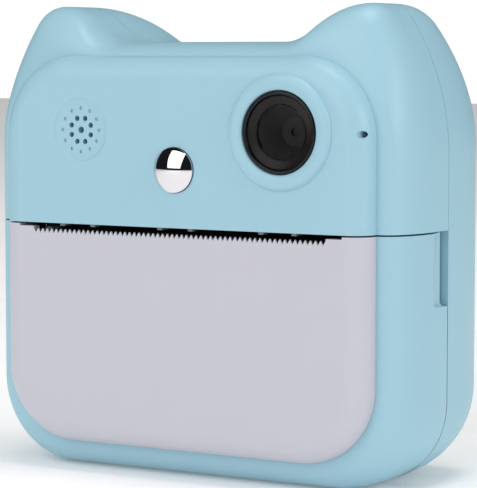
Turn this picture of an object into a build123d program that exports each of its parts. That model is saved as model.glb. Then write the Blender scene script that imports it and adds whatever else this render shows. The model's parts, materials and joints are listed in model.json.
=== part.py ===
from build123d import *
import os
from math import acos, asin, atan2, cos, degrees, pi, radians, sin, tan

# Instant-print camera for children, with two ears and a drop-down paper door.
# Millimetres. X runs to the right as seen from the front, the front faces -Y and Z is up.
# A "depth" is measured backwards from the flat front face, a "height" up from the base.

# ---------------------------------------------------------------- housing
WIDTH = 88.0
EAR_TOP = 85.4
FLAT_TOP = 78.7
BODY_DEPTH = 39.7
SEAM = 20.4  # depth of the joint between the front and rear mouldings
WALL = 2.0
CORNER = 15.2  # bottom corners at the seam
EAR_X = 32.3  # ear tips
EAR_START = 58.6  # height where the side turns into the ear
VALLEY_X = 15.3  # where the inner slope of an ear meets the flat top
EAR_TIP_R = 5.0  # outer side of the ear tip
PAD_TIP_R = 10.5

PAD_WIDTH = 76.0  # raised pad on the front
PAD_BOTTOM = 5.1
PAD_TOP = 76.2
PAD_RISE = 4.4
PAD_ROLL = 4.3
PAD_RECESS = 3.0
PAD_CORNER = 14.0
PAD_SHOULDER = 24.0
PAD_SIDE_TOP = 62.1
PAD_VALLEY_X = 18.0

SIDE_POWER = 2.5  # how full the bulge behind the pad is
LOW_FULL = 12.9  # depth where the bottom reaches the base
LOW_POWER = 2.5
TOP_FULL = 14.5  # depth where the ears reach their height
TOP_POWER = 2.6
BACK_START = 21.9  # depth where the back starts to round off
BACK_POWER = 2.2
OUTER_STEPS = 5
INNER_STEPS = 3
ROLL_STEPS = 3

SPLIT = 45.7  # height of the joint between front shell and door
DOOR_GAP = 0.3
SEAM_GROOVE = 0.12
LIP_WALL = 0.9
LIP_LENGTH = 1.4
LIP_FIT = 0.25

# ---------------------------------------------------------------- face of the front shell
LENS_X = 21.5
LENS_HEIGHT = 63.0
LENS_RING_R = 10.0
LENS_RING_RISE = 1.0
BARREL_R = 7.2
BARREL_LENGTH = 9.0
BARREL_FLANGE_R = 8.4
BARREL_FLANGE = 1.0
BARREL_PROUD = 0.6
BARREL_BORE_R = 4.6
WINDOW_FACE = 1.5
WINDOW_THICK = 0.8
RETAINER_THICK = 0.6
RETAINER_LAP = 0.4
WINDOW_R = 6.2
SENSOR_LENS_R = 1.1
SENSOR_HOLDER_R = 2.6
SENSOR_HOLDER_DEEP = 1.6
SENSOR_SIDE = 6.4
SENSOR_BOARD = 12.0
SENSOR_FACE = 5.2
SENSOR_CONE = 30  # degrees
NOSE_HEIGHT = 56.0
NOSE_R = 4.0
NOSE_RISE = 1.8
NOSE_GAP = 0.25
NOSE_SEAT = 1.2
NOSE_EDGE = 0.2
NOSE_STUB = 1.0
SPEAKER_X = -20.0
SPEAKER_HEIGHT = 62.8
GRILLE_R = 5.75
GRILLE_DISH = 0.3
GRILLE_HOLE_R = 0.55
GRILLE_RING_R = 2.25
HOLE_SIDES = 8
SPEAKER_R = 8.0
MAGNET_R = 5.0
SPEAKER_THICK = 3.6
MIC_X = 36.4
MIC_HEIGHT = 62.9
MIC_HOLE_R = 0.65
MIC_R = 2.2
MIC_THICK = 1.8
MIC_DEPTH = 4.5
FIT = 0.05
SLIP = 0.1

# ---------------------------------------------------------------- door
PLATE_THICK = 2.0
PLATE_SKIRT = 1.6
DOOR_WALL = 2.15
HINGE_R = 1.6
HINGE_HALF = 34.0
HINGE_CLEAR = 0.65
PIN_R = 0.6
PIN_HALF = 21.0
KNUCKLE_X = 15.0
KNUCKLE_WIDTH = 5.6
KNUCKLE_GAP = 0.3
KNUCKLE_ROOM = 0.5
MOUTH_HALF = 33.6
MOUTH_DROP = 0.7
TOOTH_HALF = 30.5
TOOTH_TIP_DROP = 1.05
TOOTH_VALLEY_DROP = 1.5
TOOTH_COUNT = 61
NOTCH_BOTTOM = 32.4
NOTCH_START = 15.4
NOTCH_DEEP = 18.3
NOTCH_DEPTH = 3.0
NOTCH_BACKING = 2.0
NOTCH_EDGE = 0.4
LUG_WALL = 1.4
LUG_R = 3.1

# ---------------------------------------------------------------- printing mechanism
PAPER_WIDTH = 57.0
PLATEN_R = 3.6
PLATEN_END = 0.1
PLATEN_DROP = 0.6  # platen top below the split
PLATEN_CLEAR = 1.2
PLATEN_SHAFT_R = 1.5
SHAFT_END = 0.8
BUSHING_R = 2.2
BUSHING_FLANGE = 0.35
END_GAP = 0.3
FRAME_THICK = 1.4
FRAME_GAP = 0.5
FRAME_FRONT = 1.3  # frame edge in front of the platen axis
FRAME_LOW = 34.6
FRAME_HIGH = 50.4
HEAD_GAP = 0.15
HEAD_THICK = 1.0
HEAD_OVER = 0.4  # past each edge of the paper
HEAD_LOW = 37.6
HEAD_HIGH = 47.0
SINK_THICK = 2.0
SINK_LOW = 36.0
SINK_HIGH = 49.0
TAB = 2.0
TAB_EDGE = 0.8
SLOT_FLARE = 0.8
SLOT_REACH = 5.2
MOTOR_EDGE = 0.6
SPRING_ROOM = 2.6
SPRING_SHEET = 0.3
SPRING_HALF = 20.0
SPRING_TOP = 1.0  # below the top of the heat sink
SPRING_FLAT = 4.0
SPRING_FALL = 4.0
SPRING_CURL = (1.2, 1.5)
SHEET_BEND = 1.0
RIBBON_X = -2.0
RIBBON_WIDTH = 20.0
RIBBON_HEIGHT = 44.0
RIBBON_THICK = 0.3
RIBBON_RISE = 1.2  # over the frame wall
RIBBON_BEHIND = 3.6
RIBBON_PLUG = 1.6
RIBBON_PLUG_TALL = 2.0
GUIDE_THICK = 1.6
GUIDE_LENGTH = 4.6
GUIDE_RIB_DROP = 0.3
GUIDE_RIB_WIDTH = 0.8
GUIDE_RIB_SHORT = 1.0
GUIDE_RIBS_X = (3.2, 17.6, 24.2)

MODULE = 0.4
PRESSURE_ANGLE = 20.0
BACKLASH = 0.1
PINION_TEETH = 9
WHEEL_TEETH = 20
DRIVE_TEETH = 10
IDLER_TEETH = 18
PLATEN_TEETH = 16
IDLER_ANGLE = 20.0  # direction from the platen to the idler
DRIVE_ANGLE = 51.0
MOTOR_ANGLE = 0.0
GEAR_FACE = 1.8
GEAR_GAP = 0.2
GEAR_START = 1.6  # from the frame plate to the first gear
AXLE_R = 0.8
MOTOR_R = 4.8
MOTOR_LENGTH = 12.0
MOTOR_SHAFT_R = 0.75

ROLL_R = 11.5
ROLL_DEPTH = 19.0
ROLL_GAP = 0.3
CORE_R = 5.5
CORE_BORE_R = 4.0
CRADLE_WALL = 1.2
CRADLE_LIFT = 2.1
CRADLE_FROM = 200.0  # angles of the trough round the roll
CRADLE_TO = 385.0
CHEEK_GAP = 0.5
CRADLE_PLATE_HIGH = 38.5
CRADLE_LAP = 0.3
CHEEK_TOP = 11.0
WEB_FRONT = 20.6
WEB_BACK = 28.0
WEB_HIGH = 40.5

# ---------------------------------------------------------------- electronics and rear controls
BOARD_THICK = 1.0
POST_LENGTH = 6.1
POST_R = 1.9
POST_X = 26.3
POST_LOW = 43.6
POST_HIGH = 68.0
BOARD_WIDTH = 66.0
BOARD_LOW = 41.5
BOARD_HIGH = 71.0
CHIP_SIDE = 8.0
CHIP_SPOT = (23.5, 59.0)
MEMORY_CHIP = (5.0, 4.0)
MEMORY_SPOT = (19.0, 67.5)
CHIP_THICK = 0.9
BATTERY_X = -6.5
BATTERY_WIDTH = 40.0
BATTERY_THICK = 6.0
BATTERY_GAP = 2.0  # over the plug of the head ribbon
BATTERY_HIGH = 65.0
SCREEN_HEIGHT = 54.5
SCREEN_WIDTH = 50.0
SCREEN_TALL = 36.0
SCREEN_GLASS = 0.8
VIEW_WIDTH = 41.0
VIEW_TALL = 31.0
GLASS_CORNER = 3.0
VIEW_CORNER = 1.0
LCD_WIDTH = 46.0
LCD_TALL = 38.0
LCD_THICK = 2.4
BUTTON_RISE = 0.8
BUTTON_GAP = 0.1
BUTTON_FLANGE = 0.8
FLANGE_EDGE = 0.45
BUTTON_TRAVEL = 0.4
STEM_R = 1.2
PRESS_SLACK = 0.1
SWITCH_THICK = 0.6
SWITCH_SIDE = 3.4
SHUTTER_SWITCH_WIDTH = 6.0
SHUTTER_SWITCH_TALL = 3.4
SHUTTER_SWITCH_DEEP = 4.2
PLUNGER_R = 1.0
STEM_LENGTH = 0.8
PAD_KEYS_HEIGHT = 20.5
OK_R = 4.0
KEY_INNER_R = 5.4
KEY_OUTER_R = 10.5
KEY_SPAN = 76.0
SIDE_KEY_X = 24.5
SIDE_KEY_R = 3.4
SIDE_KEY_LOW = 14.5
SIDE_KEY_HIGH = 26.5
KEY_BOARD_WIDTH = 56.0
KEY_BOARD_LOW = 7.0
KEY_BOARD_HIGH = 33.0
KEY_POST_X = 15.2
KEY_POST_LOW = 9.4
KEY_POST_HIGH = 31.2
CRADLE_POST_X = 25.5
CRADLE_POST_HEIGHT = 35.8
SHUTTER_DEPTH = 28.0
SHUTTER_R = 4.2
SHUTTER_SINK = 0.2
SHUTTER_DISH_R = 6.0
SHUTTER_DISH = 0.4
SHUTTER_BOSS_R = 6.0
SHUTTER_BOSS_DROP = 2.9
USB_HEIGHT = 49.0
USB_WIDTH = 9.0
USB_THICK = 3.2
USB_LENGTH = 7.2
USB_SHEET = 0.3
USB_BACK = 1.0
TONGUE_WIDTH = 6.7
TONGUE_THICK = 0.7
TONGUE_SINK = 0.8
PORT_GAP = 0.3
PORT_BACK = 1.7  # sockets behind the inner side of the wall
CARD_HEIGHT = 49.0
CARD_WIDTH = 11.0
CARD_LENGTH = 15.0
CARD_THICK = 0.8
CARD_SINK = 0.7  # card end inside the widest point
CARD_FIT = 0.1
CARD_CORNER = 0.8
SOCKET_WALL = 0.3
TAB_LOW = 43.0
TAB_HIGH = 55.0
BOSS_R = 2.4
BOSS_HEAD_R = 3.2
SCREW_R = 0.8
SCREW_HEAD_R = 1.7
SCREW_HEAD = 1.2
CASE_SCREWS = ((33.0, 75.0), (36.5, 59.0))
CASE_SEAT = 29.0  # depth of the seat under the heads
CASE_SCREW_LENGTH = 16.0
BOSS_FRONT = 5.6

# ---------------------------------------------------------------- derived places
HALF = WIDTH / 2
PAD_HALF = PAD_WIDTH / 2
MIDDLE = (BODY_DEPTH + BUTTON_RISE - NOSE_RISE) / 2
REAR_FACE = BODY_DEPTH - WALL
DOOR_FRONT = PLATE_THICK + FIT + DOOR_WALL
PLATEN_DEPTH = DOOR_FRONT + PLATEN_CLEAR + PLATEN_R
PLATEN_HEIGHT = SPLIT - PLATEN_DROP - PLATEN_R
PLATEN_HALF = PAPER_WIDTH / 2 + PLATEN_END
LUG_X = PLATEN_HALF + END_GAP + BUSHING_FLANGE + FIT
FRAME_X = LUG_X + LUG_WALL + FRAME_GAP
HEAD_FACE = PLATEN_DEPTH + PLATEN_R + HEAD_GAP
SINK_FACE = HEAD_FACE + HEAD_THICK
SINK_BACK = SINK_FACE + SINK_THICK
FRAME_WALL = SINK_BACK + SPRING_ROOM
GEAR_X = FRAME_X + FRAME_THICK + GEAR_START
GEAR_X2 = GEAR_X + GEAR_FACE + GEAR_GAP
GEAR_END = GEAR_X2 + GEAR_FACE
ROLL_HEIGHT = WALL + CRADLE_LIFT + CRADLE_WALL + ROLL_GAP + ROLL_R
CRADLE_IN = ROLL_R + ROLL_GAP
CRADLE_OUT = CRADLE_IN + CRADLE_WALL
CRADLE_BACK = ROLL_DEPTH + CRADLE_OUT - CRADLE_LAP
CRADLE_PLATE = CRADLE_BACK + CRADLE_WALL
CHEEK_X = PAPER_WIDTH / 2 + CHEEK_GAP
BOARD_BACK = REAR_FACE - POST_LENGTH
BOARD_FRONT = BOARD_BACK - BOARD_THICK
FLANGE_BACK = REAR_FACE - BUTTON_GAP
STEM_END = FLANGE_BACK - BUTTON_FLANGE - STEM_LENGTH
SWITCH_FACE = STEM_END - BUTTON_TRAVEL - PRESS_SLACK
KEY_BOARD_BACK = SWITCH_FACE - SWITCH_THICK
CARD_DEPTH = BOARD_FRONT - CARD_THICK / 2 - CARD_FIT - SOCKET_WALL
SEAM_END = SEAM - SEAM_GROOVE
FRAME_END = FRAME_X + FRAME_THICK
SHUTTER_FLANGE = FLAT_TOP - SHUTTER_BOSS_DROP - BUTTON_GAP
SHUTTER_STEM_END = SHUTTER_FLANGE - BUTTON_FLANGE - STEM_LENGTH
PLUNGER_TOP = SHUTTER_STEM_END - BUTTON_TRAVEL - PRESS_SLACK
PORT_X = HALF - WALL - PORT_BACK
CARD_END = CARD_LENGTH + CARD_SINK - HALF
BATTERY_LOW = RIBBON_HEIGHT + RIBBON_PLUG_TALL / 2 + BATTERY_GAP


def at(depth):
    """Y of a depth behind the flat front face."""
    return depth - MIDDLE


def facing(depth):
    """Plane that looks out of the front, with X to the right and Z up; it extrudes forwards."""
    return Plane.XZ.offset(-at(depth))


def across(x, depth, height):
    """Plane across X round an axle: its x runs backwards, its y up, and it extrudes along +X."""
    return Plane(origin=(x, at(depth), height), x_dir=(0, 1, 0), z_dir=(1, 0, 0))


def between(start, end, share):
    return start + (end - start) * share


def swell(depth, full, power):
    """Share of the bulge reached at a depth: a superellipse quarter that starts at the crease."""
    if depth >= full:
        return 1.0
    left = (full - depth) / (full - PAD_RISE)
    return (1 - left**power) ** (1 / power)


def back_swell(depth):
    """Share of the bulge left at a depth behind the seam."""
    gone = max(0.0, (depth - BACK_START) / (BODY_DEPTH - BACK_START))
    return max(0.0, 1 - gone**BACK_POWER) ** (1 / BACK_POWER)


def outline(depth, inset=0.0):
    """Outline of the housing at a depth, moved inwards by inset, as a face in the current sketch.

    Inner outlines go up the ears in straight lines.
    """
    if depth <= SEAM:
        side = swell(depth, SEAM, SIDE_POWER)
        low = swell(depth, LOW_FULL, LOW_POWER)
        top = swell(depth, TOP_FULL, TOP_POWER) ** 2
    else:
        side = low = top = back_swell(depth)
    half = between(PAD_HALF, HALF, side) - inset
    base = between(PAD_BOTTOM, 0, low) + inset
    flat = between(PAD_TOP, FLAT_TOP, top) - inset
    tip = between(PAD_TOP, EAR_TOP, top) - inset
    corner = between(PAD_CORNER, CORNER, side) - inset
    start = between(PAD_SIDE_TOP, EAR_START, side)
    tip_x = between(PAD_SHOULDER, EAR_X, top)
    valley = between(PAD_VALLEY_X, VALLEY_X, top)
    # the outer side of an ear is a long arc that runs into a small one at the tip
    small = between(PAD_TIP_R, EAR_TIP_R, top) - inset / 2
    wide = half - tip_x
    tall = tip - start
    big = (wide**2 + tall**2 - 2 * tall * small) / (2 * (wide - small))
    turn = atan2(tip - small - start, tip_x - half + big)
    joint = (half - big + big * cos(turn), start + big * sin(turn))
    # the inner side is an S of two equal arcs down to the flat top
    halfway = ((tip_x + valley) / 2, (tip + flat) / 2)
    with BuildLine() as rim:
        Line((corner - half, base), (half - corner, base))
        Line((-valley, flat), (valley, flat))
        for side in (1, -1):
            RadiusArc((side * (half - corner), base), (side * half, base + corner), -side * corner)
            Line((side * half, base + corner), (side * half, start))
            if inset > 0:
                Polyline(
                    (side * half, start),
                    (side * joint[0], joint[1]),
                    (side * tip_x, tip),
                    (side * halfway[0], halfway[1]),
                    (side * valley, flat),
                )
                continue
            RadiusArc((side * half, start), (side * joint[0], joint[1]), -side * big)
            RadiusArc((side * joint[0], joint[1]), (side * tip_x, tip), -side * small)
            if tip > flat:
                slope = 2 * atan2(tip - flat, tip_x - valley)
                bend = (tip_x - valley) / (2 * sin(slope))
                RadiusArc((side * tip_x, tip), (side * halfway[0], halfway[1]), -side * bend)
                RadiusArc((side * halfway[0], halfway[1]), (side * valley, flat), side * bend)
            else:
                Line((side * tip_x, tip), (side * halfway[0], tip))
                Line((side * halfway[0], tip), (side * valley, flat))
    make_face(rim.edges())


def ringed(rings):
    """Solid through outlines, each given by its place in depth, the outline it takes and an inset."""
    with BuildPart() as solid:
        for place, depth, inset in rings:
            with BuildSketch(facing(place)):
                outline(depth, inset)
        loft(ruled=True)
    return solid.part


def front_bulge(inset=0.0, steps=OUTER_STEPS):
    """Solid from the crease round the pad back to the seam."""
    shares = [1 - cos(pi / 2 * step / steps) for step in range(steps + 1)]
    return ringed(
        (between(PAD_RISE + inset, SEAM, share), between(PAD_RISE, SEAM, share), inset)
        for share in shares
    )


def rear_half(inset=0.0, steps=OUTER_STEPS):
    """Solid from the seam to the back: straight at first, then round."""
    shares = [sin(pi / 2 * step / steps) for step in range(steps + 1)]
    back = BODY_DEPTH - inset
    round_off = [
        (between(BACK_START, back, share), between(BACK_START, BODY_DEPTH, share), inset)
        for share in shares
    ]
    return ringed([(SEAM, SEAM, inset), *round_off])


def pad_block(inset, front, back=PAD_RISE):
    """Straight block with the pad's outline, between two depths."""
    with BuildPart() as block:
        with BuildSketch(facing(back)):
            outline(PAD_RISE, inset)
        extrude(amount=back - front)
    return block.part


def rolled_pad():
    """The raised pad with its rolled edge."""
    turns = [pi / 2 * step / ROLL_STEPS for step in range(ROLL_STEPS + 1)]
    roll = [(PAD_ROLL * (1 - cos(turn)), PAD_RISE, PAD_ROLL * (1 - sin(turn))) for turn in turns]
    return ringed([*roll, (PAD_RISE, PAD_RISE, 0)])


# ---------------------------------------------------------------- gear train layout
def on_ray(start, distance, angle):
    """Depth and height at a distance and an angle from a start."""
    return (
        start[0] + distance * cos(radians(angle)),
        start[1] + distance * sin(radians(angle)),
    )


def spacing(teeth, mating):
    return MODULE * (teeth + mating) / 2


def meshed(phase, teeth, mating, angle):
    """Phase of a gear whose gap takes the tooth of its mate; angle runs from the first to the mate."""
    return angle + 180 + 180 / mating - (phase - angle) * teeth / mating


PLATEN = (PLATEN_DEPTH, PLATEN_HEIGHT)
IDLER = on_ray(PLATEN, spacing(PLATEN_TEETH, IDLER_TEETH), IDLER_ANGLE)
DRIVE = on_ray(IDLER, spacing(IDLER_TEETH, DRIVE_TEETH), DRIVE_ANGLE)
MOTOR = on_ray(DRIVE, spacing(WHEEL_TEETH, PINION_TEETH), MOTOR_ANGLE)
PLATEN_PHASE = IDLER_ANGLE
IDLER_PHASE = meshed(PLATEN_PHASE, PLATEN_TEETH, IDLER_TEETH, IDLER_ANGLE)
DRIVE_PHASE = meshed(IDLER_PHASE, IDLER_TEETH, DRIVE_TEETH, DRIVE_ANGLE)
WHEEL_PHASE = DRIVE_PHASE
PINION_PHASE = meshed(WHEEL_PHASE, WHEEL_TEETH, PINION_TEETH, MOTOR_ANGLE)

# Rear keys: places and radii of the round ones, directions of the four round the OK key.
ROUND_KEYS = {
    "ok_button": (0, PAD_KEYS_HEIGHT, OK_R),
    "power_button": (SIDE_KEY_X, SIDE_KEY_HIGH, SIDE_KEY_R),
    "mode_button": (SIDE_KEY_X, SIDE_KEY_LOW, SIDE_KEY_R),
    "print_button": (-SIDE_KEY_X, SIDE_KEY_HIGH, SIDE_KEY_R),
    "gallery_button": (-SIDE_KEY_X, SIDE_KEY_LOW, SIDE_KEY_R),
}
ARROW_KEYS = {"up_button": 90, "right_button": 180, "down_button": 270, "left_button": 0}
REAR_KEYS = [*ROUND_KEYS, *ARROW_KEYS]


def both_sides(spots):
    """Each place and its mirror image."""
    return [(side * x, height) for x, height in spots for side in (1, -1)]


def key_shape(name, grow=0.0):
    """Outline of a rear key, grown all round, as a face in the current sketch."""
    if name in ROUND_KEYS:
        x, height, radius = ROUND_KEYS[name]
        with Locations((x, height)):
            Circle(radius + grow)
        return
    inner = KEY_INNER_R - grow
    outer = KEY_OUTER_R + grow
    half = KEY_SPAN / 2 + degrees(grow / KEY_INNER_R) / 2
    start = ARROW_KEYS[name] - half
    centre = (0, PAD_KEYS_HEIGHT)
    with BuildLine() as rim:
        far = CenterArc(centre, outer, start, 2 * half)
        near = CenterArc(centre, inner, start, 2 * half)
        Line(far @ 0, near @ 0)
        Line(far @ 1, near @ 1)
    make_face(rim.edges())


def key_centre(name):
    if name in ROUND_KEYS:
        return ROUND_KEYS[name][:2]
    reach = (KEY_INNER_R + KEY_OUTER_R) / 2
    angle = radians(ARROW_KEYS[name])
    return (reach * cos(angle), PAD_KEYS_HEIGHT + reach * sin(angle))


# ---------------------------------------------------------------- housing pieces
def front_shell():
    outer = front_bulge()
    pad = rolled_pad()
    inner = front_bulge(WALL, INNER_STEPS)
    recess = pad_block(PAD_RECESS, WALL, PAD_RISE + WALL)
    bosses = both_sides(CASE_SCREWS)
    end = SEAM_END
    with BuildPart() as shell:
        add(outer)
        add(pad)
        add(inner, mode=Mode.SUBTRACT)
        add(recess, mode=Mode.SUBTRACT)
        split(bisect_by=Plane.XY.offset(SPLIT), keep=Keep.TOP)
        split(bisect_by=facing(end), keep=Keep.TOP)
        with BuildSketch(facing(end)):
            with Locations(*bosses):
                Circle(BOSS_R)
        extrude(amount=end - BOSS_FRONT)
        with BuildSketch(facing(end)):
            with Locations(*bosses):
                Circle(SCREW_R + FIT)
        extrude(amount=CASE_SCREW_LENGTH + 1 - (CASE_SEAT - end), mode=Mode.SUBTRACT)
        # raised collar round the lens, in two steps
        with BuildSketch(facing(WALL / 2)):
            with Locations((LENS_X, LENS_HEIGHT)):
                Circle(LENS_RING_R)
        extrude(amount=(WALL + LENS_RING_RISE) / 2)
        with BuildSketch(facing(0)):
            with Locations((LENS_X, LENS_HEIGHT)):
                Circle(LENS_RING_R - LENS_RING_RISE / 2)
        extrude(amount=LENS_RING_RISE)
        with BuildSketch(facing(PAD_RISE)):
            with Locations((LENS_X, LENS_HEIGHT)):
                Circle(BARREL_R + SLIP)
        extrude(amount=PAD_RISE + LENS_RING_RISE, mode=Mode.SUBTRACT)
        # seat of the nose mirror
        with BuildSketch(facing(NOSE_SEAT)):
            with Locations((0, NOSE_HEIGHT)):
                Circle(NOSE_R + NOSE_GAP)
        extrude(amount=NOSE_SEAT, mode=Mode.SUBTRACT)
        with BuildSketch(facing(WALL)):
            with Locations((0, NOSE_HEIGHT)):
                Circle(NOSE_R / 2 + FIT)
        extrude(amount=WALL, mode=Mode.SUBTRACT)
        # speaker grille: a shallow dish with nine holes
        with BuildSketch(facing(GRILLE_DISH)):
            with Locations((SPEAKER_X, SPEAKER_HEIGHT)):
                Circle(GRILLE_R)
        extrude(amount=GRILLE_DISH, mode=Mode.SUBTRACT)
        with BuildSketch(facing(WALL)):
            with Locations((SPEAKER_X, SPEAKER_HEIGHT)):
                RegularPolygon(GRILLE_HOLE_R, HOLE_SIDES)
                with PolarLocations(GRILLE_RING_R, 8, 22.5):
                    RegularPolygon(GRILLE_HOLE_R, HOLE_SIDES)
        extrude(amount=WALL, mode=Mode.SUBTRACT)
        # microphone: a small hole in front and a pocket behind
        with BuildSketch(facing(MIC_DEPTH)):
            with Locations((MIC_X, MIC_HEIGHT)):
                RegularPolygon(MIC_HOLE_R, HOLE_SIDES)
        extrude(amount=MIC_DEPTH, mode=Mode.SUBTRACT)
        with BuildSketch(facing(2 * MIC_DEPTH)):
            with Locations((MIC_X, MIC_HEIGHT)):
                Circle(MIC_R + FIT)
        extrude(amount=MIC_DEPTH, mode=Mode.SUBTRACT)
    return shell


def rear_shell():
    outer = rear_half()
    inner = rear_half(WALL, INNER_STEPS)
    core = rear_half(WALL / 2, INNER_STEPS)
    axis = HINGE_R
    with BuildPart() as barrel:
        with BuildSketch(across(-HINGE_HALF, SEAM, axis)):
            Circle(HINGE_R)
        extrude(amount=2 * HINGE_HALF)
        with BuildSketch(facing(SEAM + HINGE_R)):
            outline(SEAM)
        extrude(amount=2 * HINGE_R, mode=Mode.INTERSECT)
    with BuildPart() as posts:
        with BuildSketch(facing(BODY_DEPTH)):
            with Locations(*both_sides(CASE_SCREWS)):
                Circle(BOSS_R)
        extrude(amount=BODY_DEPTH - SEAM)
        with BuildSketch(facing(BODY_DEPTH)):
            with Locations(*both_sides(CASE_SCREWS)):
                Circle(BOSS_HEAD_R)
        extrude(amount=BODY_DEPTH - CASE_SEAT + SCREW_HEAD)
        add(core, mode=Mode.INTERSECT)
    with BuildPart() as lip:
        with BuildSketch(facing(SEAM)):
            outline(SEAM, WALL + LIP_FIT)
            outline_cut(WALL + LIP_WALL)
        extrude(amount=LIP_LENGTH)
        with BuildSketch(facing(SEAM + LIP_LENGTH)):
            outline(SEAM, WALL / 2)
            outline_cut(WALL + LIP_WALL)
        extrude(amount=LIP_LENGTH)
        split(bisect_by=Plane.XY.offset(SPLIT + LIP_FIT), keep=Keep.TOP)
    with BuildPart() as shell:
        add(outer)
        add(inner, mode=Mode.SUBTRACT)
        add(barrel.part)
        add(posts.part)
        add(lip.part)
        # shutter: a boss inside, a shallow dish outside and the hole for the key
        with BuildSketch(Plane.XY.offset(FLAT_TOP - SHUTTER_BOSS_DROP)):
            with Locations((0, at(SHUTTER_DEPTH))):
                Circle(SHUTTER_BOSS_R)
        extrude(amount=WALL)
        with BuildSketch(Plane.XY.offset(FLAT_TOP - SHUTTER_DISH)):
            with Locations((0, at(SHUTTER_DEPTH))):
                Circle(SHUTTER_DISH_R)
        extrude(amount=SHUTTER_DISH, mode=Mode.SUBTRACT)
        with BuildSketch(Plane.XY.offset(FLAT_TOP)):
            with Locations((0, at(SHUTTER_DEPTH))):
                Circle(SHUTTER_R + SLIP)
        extrude(amount=-2 * SHUTTER_BOSS_DROP, mode=Mode.SUBTRACT)
        # seats of the housing screws
        with BuildSketch(facing(BODY_DEPTH)):
            with Locations(*both_sides(CASE_SCREWS)):
                Circle(SCREW_HEAD_R + SLIP)
        extrude(amount=BODY_DEPTH - CASE_SEAT, mode=Mode.SUBTRACT)
        with BuildSketch(facing(BODY_DEPTH)):
            with Locations(*both_sides(CASE_SCREWS)):
                Circle(SCREW_R + SLIP)
        extrude(amount=BODY_DEPTH - SEAM, mode=Mode.SUBTRACT)
        # posts for the main board, the key board and the cradle
        post(POST_X, POST_LOW, BOARD_BACK)
        post(POST_X, POST_HIGH, BOARD_BACK)
        post(KEY_POST_X, KEY_POST_LOW, KEY_BOARD_BACK)
        post(KEY_POST_X, KEY_POST_HIGH, KEY_BOARD_BACK)
        post(CRADLE_POST_X, CRADLE_POST_HEIGHT, CRADLE_PLATE)
        # screen: recess for the glass and the view through the wall
        with BuildSketch(facing(BODY_DEPTH)):
            with Locations((0, SCREEN_HEIGHT)):
                RectangleRounded(SCREEN_WIDTH + 2 * FIT, SCREEN_TALL + 2 * FIT, GLASS_CORNER)
        extrude(amount=SCREEN_GLASS + FIT, mode=Mode.SUBTRACT)
        with BuildSketch(facing(BODY_DEPTH)):
            with Locations((0, SCREEN_HEIGHT)):
                RectangleRounded(VIEW_WIDTH, VIEW_TALL, VIEW_CORNER)
        extrude(amount=WALL, mode=Mode.SUBTRACT)
        # key holes
        for name in REAR_KEYS:
            with BuildSketch(facing(BODY_DEPTH)):
                key_shape(name, SLIP)
            extrude(amount=WALL, mode=Mode.SUBTRACT)
        # USB and card slots in the side away from the gears
        with BuildSketch(across(-HALF, BOARD_BACK + USB_THICK / 2, USB_HEIGHT)):
            SlotOverall(USB_WIDTH + 2 * PORT_GAP, USB_THICK + 2 * PORT_GAP, rotation=90)
        extrude(amount=WALL + HALF - PAD_HALF, mode=Mode.SUBTRACT)
        with BuildSketch(across(-HALF, CARD_DEPTH, CARD_HEIGHT)):
            Rectangle(CARD_THICK + 2 * PORT_GAP, CARD_WIDTH + 2 * PORT_GAP)
        extrude(amount=WALL + HALF - PAD_HALF, mode=Mode.SUBTRACT)
        # hinge: the bore of the pin and the room for the door's knuckles
        with BuildSketch(across(-PIN_HALF, SEAM, axis)):
            Circle(PIN_R + FIT / 2)
        extrude(amount=2 * PIN_HALF, mode=Mode.SUBTRACT)
        for side in (1, -1):
            width = KNUCKLE_WIDTH + 2 * KNUCKLE_GAP
            room = HINGE_R + KNUCKLE_ROOM
            with BuildSketch(across(side * KNUCKLE_X - width / 2, SEAM, axis)):
                Circle(room)
                with Locations((0, -room / 2)):
                    Rectangle(2 * room, room)
            extrude(amount=width, mode=Mode.SUBTRACT)
    return shell


def outline_cut(inset):
    """Take the seam outline, moved inwards, out of the current sketch."""
    with BuildSketch(mode=Mode.PRIVATE) as inside:
        outline(SEAM, inset)
    add(inside.sketch_local, mode=Mode.SUBTRACT)


def post(x, height, front):
    """A pair of square posts from the rear wall of the rear shell to a depth."""
    with BuildSketch(facing(REAR_FACE + FIT)) as foot:
        with Locations((x, height), (-x, height)):
            Rectangle(2 * POST_R, 2 * POST_R)
    extrude(foot.sketch, amount=REAR_FACE + FIT - front)


def hinge_pin():
    with BuildPart() as pin:
        with BuildSketch(across(-PIN_HALF, SEAM, HINGE_R)):
            Circle(PIN_R)
        extrude(amount=2 * PIN_HALF)
    return pin


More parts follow.
